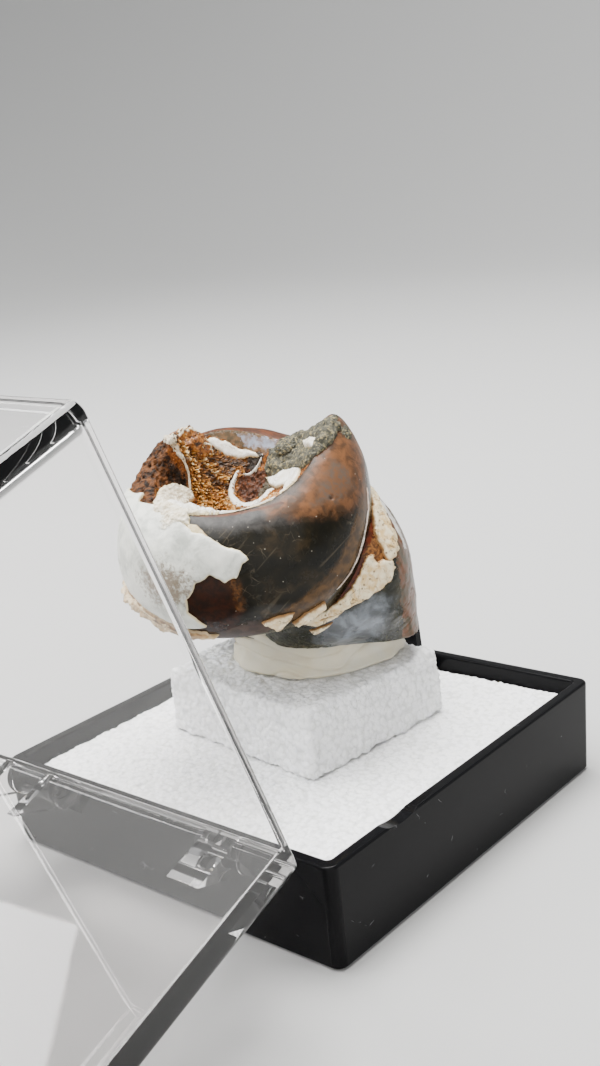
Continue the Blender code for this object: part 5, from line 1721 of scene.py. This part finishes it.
def add_crystal(chance, crystal, points, faces, shades):
    """Adds one blunt five-sided crystal that leans the way its neighbours fan."""
    base, normal, fan, streak, low, high, tall = crystal
    lean = fan * chance.uniform(0.7, 1.3) + np.array([chance.gauss(0, 0.16) for axis in range(3)])
    way = normal * chance.uniform(0.2, 0.6) + lean
    way /= np.linalg.norm(way)
    side = np.cross(way, (0.3, 0.5, 0.1))
    side /= np.linalg.norm(side)
    other = np.cross(way, side)
    size = 0.042 + 0.13 * chance.random() ** 2.2
    height = size * chance.uniform(2.6, 6.6) * tall
    shade = low + (high - low) * (0.5 * chance.random() + 0.55 * (0.5 + 1.5 * streak))
    foot = len(points)
    shoulder, tip = foot + CRYSTAL_SIDES, foot + 2 * CRYSTAL_SIDES
    # Painted shade: the foot ring is painted at 0.65 of the crystal's shade, darker where crystals crowd.
    for level, radius, light in ((-0.3, size, 0.65), (height * 0.8, size * 0.8, 1.0)):
        for step in range(CRYSTAL_SIDES):
            turn = 2 * math.pi * step / CRYSTAL_SIDES
            out = side * math.cos(turn) + other * math.sin(turn)
            points.append(base + way * level + out * radius)
            shades.append(shade * light)
    # Painted highlight: the tip is painted 1.15 times lighter.
    points.append(base + way * height + side * size * chance.uniform(-0.5, 0.5))
    shades.append(min(1.0, shade * 1.15))
    for step in range(CRYSTAL_SIDES):
        after = (step + 1) % CRYSTAL_SIDES
        faces.append((foot + step, foot + after, shoulder + after, shoulder + step))
        faces.append((shoulder + step, shoulder + after, tip))
    faces.append(tuple(foot + step for step in reversed(range(CRYSTAL_SIDES))))


def scattered(chance, area, count):
    """Seeded random places inside an outline."""
    corners = np.array(area, float)
    (left, near), (right, far) = corners.min(axis=0), corners.max(axis=0)
    places = np.array([
        (chance.uniform(left, right), chance.uniform(near, far)) for attempt in range(count * 4)
    ])
    return places[outline_depth(places, corners) > 0.05][:count]


def on_flap(flat):
    """Points of the flap's uneven face and its outward direction at them."""
    level = np.column_stack([flat, np.zeros(len(flat))])
    bulge = 0.35 * smooth_noise(level, 1.6) + 0.2 * (cell_noise(level + 3.0, 1.1) - 0.4)
    across, up = flat[:, :1] * FLAP_ACROSS, flat[:, 1:] * FLAP_UP
    points = FLAP_PLACE + across + up + bulge[:, None] * FLAP_FACING
    return points, np.tile(FLAP_FACING, (len(flat), 1))


class FOSSIL_OT_filling(bpy.types.Operator):
    """Models the sandy stone that fills the break, the peak and the golden crust on the rim"""
    bl_idname = "fossil.filling"
    bl_label = "Sandy stone and golden crust"

    def execute(self, context):
        sandy, crust = sandy_finish(), crust_finish()
        name, place, radii = CRUST_LUMP
        fossil_piece(lump_piece(place, radii, crag_relief), name, crust)
        for name, place, radii in STONE_LUMPS:
            fossil_piece(lump_piece(place, radii, stone_relief), name, sandy)
        flap = wall_piece(FLAP, on_flap, 0.3, 0.7, 0.14, 0.2, roughness=0.22, rounding=0.2, grain=0.6)
        fossil_piece(flap, "golden_flap", crust)
        self.edge_flap()
        fill = wall_piece(SANDY_STONE, on_pit, 0.75, 0.8, 0.16, 0.35, roughness=0.3, rounding=0.9)
        fossil_piece(fill, "sandy_stone_filling", sandy)
        chip = wall_piece(WHITE_CHIP, on_pit, 1.25, 0.4, 0.15, 0.12, roughness=0.06)
        fossil_piece(chip, "white_wall_chip", cream_wall_finish(
            "chip_wall", (0.80, 0.78, 0.70), (0.62, 0.56, 0.42), (0.55, 0.43, 0.24), 0.3))
        return {"FINISHED"}

    def edge_flap(self):
        """Lays a crumbly cream crust where the golden flap meets the porous rim."""
        x, y = resampled(FLAP_EDGE).T
        half_widths = (0.5, 0.62, 0.45, 0.12, 0.1, 0.2)
        heights = (0.5, 0.6, 0.45, 0.22, 0.2, 0.25)
        ridge = ridge_piece(pit_points(x, y), pit_normals(x, y), half_widths, heights, 0.8, 1.7)
        fossil_piece(ridge, "flap_edge_crust", cream_wall_finish(
            "flap_crust", (0.70, 0.63, 0.49), (0.36, 0.29, 0.19), (0.30, 0.20, 0.10), 1.0, 0.45))


def crag_relief(places):
    relief = 0.5 * smooth_noise(places, 1.7) + 0.5 * (cell_noise(places, 0.95) - 0.45)
    return relief + 0.25 * (cell_noise(places + 5.0, 0.45) - 0.45)


def stone_relief(places):
    relief = 0.26 * smooth_noise(places, 2.3) + 0.12 * smooth_noise(places + 9.0, 0.3, 3)
    return relief - 0.14 * cell_noise(places, 0.42)


def lump_piece(place, radii, relief):
    """A lump of stone or crust, shaped from a ball in the shell's axes."""
    deselect()
    bpy.ops.mesh.primitive_ico_sphere_add(subdivisions=6, radius=1.0)
    lump = bpy.context.object
    units = vertex_places(lump.data)
    sized = units * radii + place
    move_vertices(lump.data, placed(sized + units * relief(sized)[:, None]))
    lump.data.shade_smooth()
    store(lump, "inside", np.full(len(units), 1.0))
    return lump


# The stage

FLOOR_SIZE, FLOOR_LEVEL, WALL_HEIGHT = 3.0, -0.0002, 2.0
FLOOR_EDGE = FLOOR_SIZE / 2 - 0.01
# The soft lamps, which all face one place: name, place, size, power and tint.
LAMPS = (
    ("overhead", (-0.06, 0.10, 0.55), 0.34, 8.4, (1.0, 0.99, 0.975)),
    ("window", (-0.40, -0.16, 0.30), 0.26, 3.0, (0.975, 0.99, 1.0)),
    ("fill", (0.52, -0.40, 0.26), 0.80, 3.6, (1.0, 0.985, 0.965)),
)
LAMP_AIM = Vector((0.0, 0.0, 0.03))


class FOSSIL_OT_stage(bpy.types.Operator):
    """Sets the pale floor, the soft lights and the camera"""
    bl_idname = "fossil.stage"
    bl_label = "Floor, lights and camera"

    def execute(self, context):
        settings = context.scene.fossil_stage
        self.add_floor(settings)
        for lamp in LAMPS:
            self.add_lamp(*lamp)
        self.add_sky(context.scene)
        self.add_camera(context, settings)
        return {"FINISHED"}

    def add_floor(self, settings):
        """Adds a floor that curves up into a wall on its left and at its back."""
        deselect()
        bpy.ops.mesh.primitive_plane_add(size=FLOOR_SIZE, location=(0, 0, FLOOR_LEVEL))
        floor = bpy.context.object
        floor.name = "studio_floor"
        bpy.ops.object.transform_apply(location=True, rotation=True, scale=True)
        for way in ((-1, 0), (0, 1)):
            pick(floor, "EDGE", lambda middle, along: middle.x * way[0] + middle.y * way[1] > FLOOR_EDGE)
            bpy.ops.mesh.extrude_edges_move(TRANSFORM_OT_translate={"value": (0, 0, WALL_HEIGHT)})
            done()
        pick(floor, "EDGE", lambda middle, along: (
            (middle.x < -FLOOR_EDGE or middle.y > FLOOR_EDGE)
            and (middle.z < 0.01 or abs(along.z) > 0.9) and middle.z < 0.75 * WALL_HEIGHT))
        bpy.ops.mesh.remove_doubles(threshold=0.0001)
        done()
        add_modifier(
            floor, "BEVEL", width=0.9, segments=16, limit_method="ANGLE", angle_limit=math.radians(60))
        apply_modifiers(floor)
        select_only(floor)
        bpy.ops.object.shade_smooth()
        finish = Finish("pale_floor")
        finish.set(Base_Color=tuple(settings.floor_colour), Roughness=0.75, Specular_IOR_Level=0.2)
        floor.data.materials.append(finish.material)

    def add_lamp(self, name, place, size, power, tint):
        data = bpy.data.lights.new(name, "AREA")
        data.shape = "SQUARE"
        data.size = size
        data.energy = power
        data.color = tint
        lamp = bpy.data.objects.new(name, data)
        lamp.location = place
        lamp.rotation_euler = (LAMP_AIM - Vector(place)).to_track_quat("-Z", "Y").to_euler()
        bpy.context.scene.collection.objects.link(lamp)

    def add_sky(self, scene):
        sun = bpy.data.lights.new("sky", "SUN")
        sun.energy = 4.1
        sun.angle = math.radians(50)
        sky = bpy.data.objects.new("sky", sun)
        sky.rotation_euler = Vector((0.2, 0.5, -1.0)).to_track_quat("-Z", "Y").to_euler()
        scene.collection.objects.link(sky)
        world = scene.world or bpy.data.worlds.new("studio")
        scene.world = world
        world.use_nodes = True
        background = world.node_tree.nodes["Background"]
        background.inputs["Color"].default_value = (0.80, 0.82, 0.84, 1.0)
        background.inputs["Strength"].default_value = 0.42

    def add_camera(self, context, settings):
        data = bpy.data.cameras.new("camera")
        data.lens = settings.lens
        data.sensor_width = 36.0
        data.clip_start = 0.01
        camera = bpy.data.objects.new("camera", data)
        context.scene.collection.objects.link(camera)
        aim = Vector(settings.aim).normalized()
        upright = Vector(settings.upright)
        right = aim.cross(upright).normalized()
        upright = right.cross(aim)
        turn = Matrix((right, upright, -aim)).transposed()
        camera.matrix_world = Matrix.Translation(settings.camera) @ turn.to_4x4()
        context.scene.camera = camera


class FOSSIL_PT_panel(bpy.types.Panel):
    """Lists the pieces in the 3D view's sidebar"""
    bl_idname = "FOSSIL_PT_panel"
    bl_label = "Fossil snail shell"
    bl_space_type = "VIEW_3D"
    bl_region_type = "UI"
    bl_category = "Fossil"

    def draw(self, context):
        for operator in OPERATORS:
            self.layout.operator(operator.bl_idname)
        for group in (context.scene.fossil_box, context.scene.fossil_specimen, context.scene.fossil_stage):
            column = self.layout.column()
            for name in group.bl_rna.properties.keys():
                if name not in ("rna_type", "name"):
                    column.prop(group, name)


PROPERTY_GROUPS = {
    "fossil_box": BoxProperties,
    "fossil_specimen": SpecimenProperties,
    "fossil_stage": StageProperties,
}
OPERATORS = (
    FOSSIL_OT_tray,
    FOSSIL_OT_lid,
    FOSSIL_OT_foam,
    FOSSIL_OT_putty,
    FOSSIL_OT_upper_whorl,
    FOSSIL_OT_lower_whorl,
    FOSSIL_OT_white_wall,
    FOSSIL_OT_wall_scraps,
    FOSSIL_OT_pit,
    FOSSIL_OT_filling,
    FOSSIL_OT_stage,
)


def register():
    for group in PROPERTY_GROUPS.values():
        bpy.utils.register_class(group)
    for name, group in PROPERTY_GROUPS.items():
        setattr(bpy.types.Scene, name, PointerProperty(type=group))
    for thing in (*OPERATORS, FOSSIL_PT_panel):
        bpy.utils.register_class(thing)


def unregister():
    for thing in reversed((*OPERATORS, FOSSIL_PT_panel)):
        bpy.utils.unregister_class(thing)
    for name in PROPERTY_GROUPS:
        delattr(bpy.types.Scene, name)
    for group in PROPERTY_GROUPS.values():
        bpy.utils.unregister_class(group)


def main():
    register()
    for operator in OPERATORS:
        family, name = operator.bl_idname.split(".")
        getattr(getattr(bpy.ops, family), name)()
    bpy.context.view_layer.update()


if __name__ == "__main__":
    main()
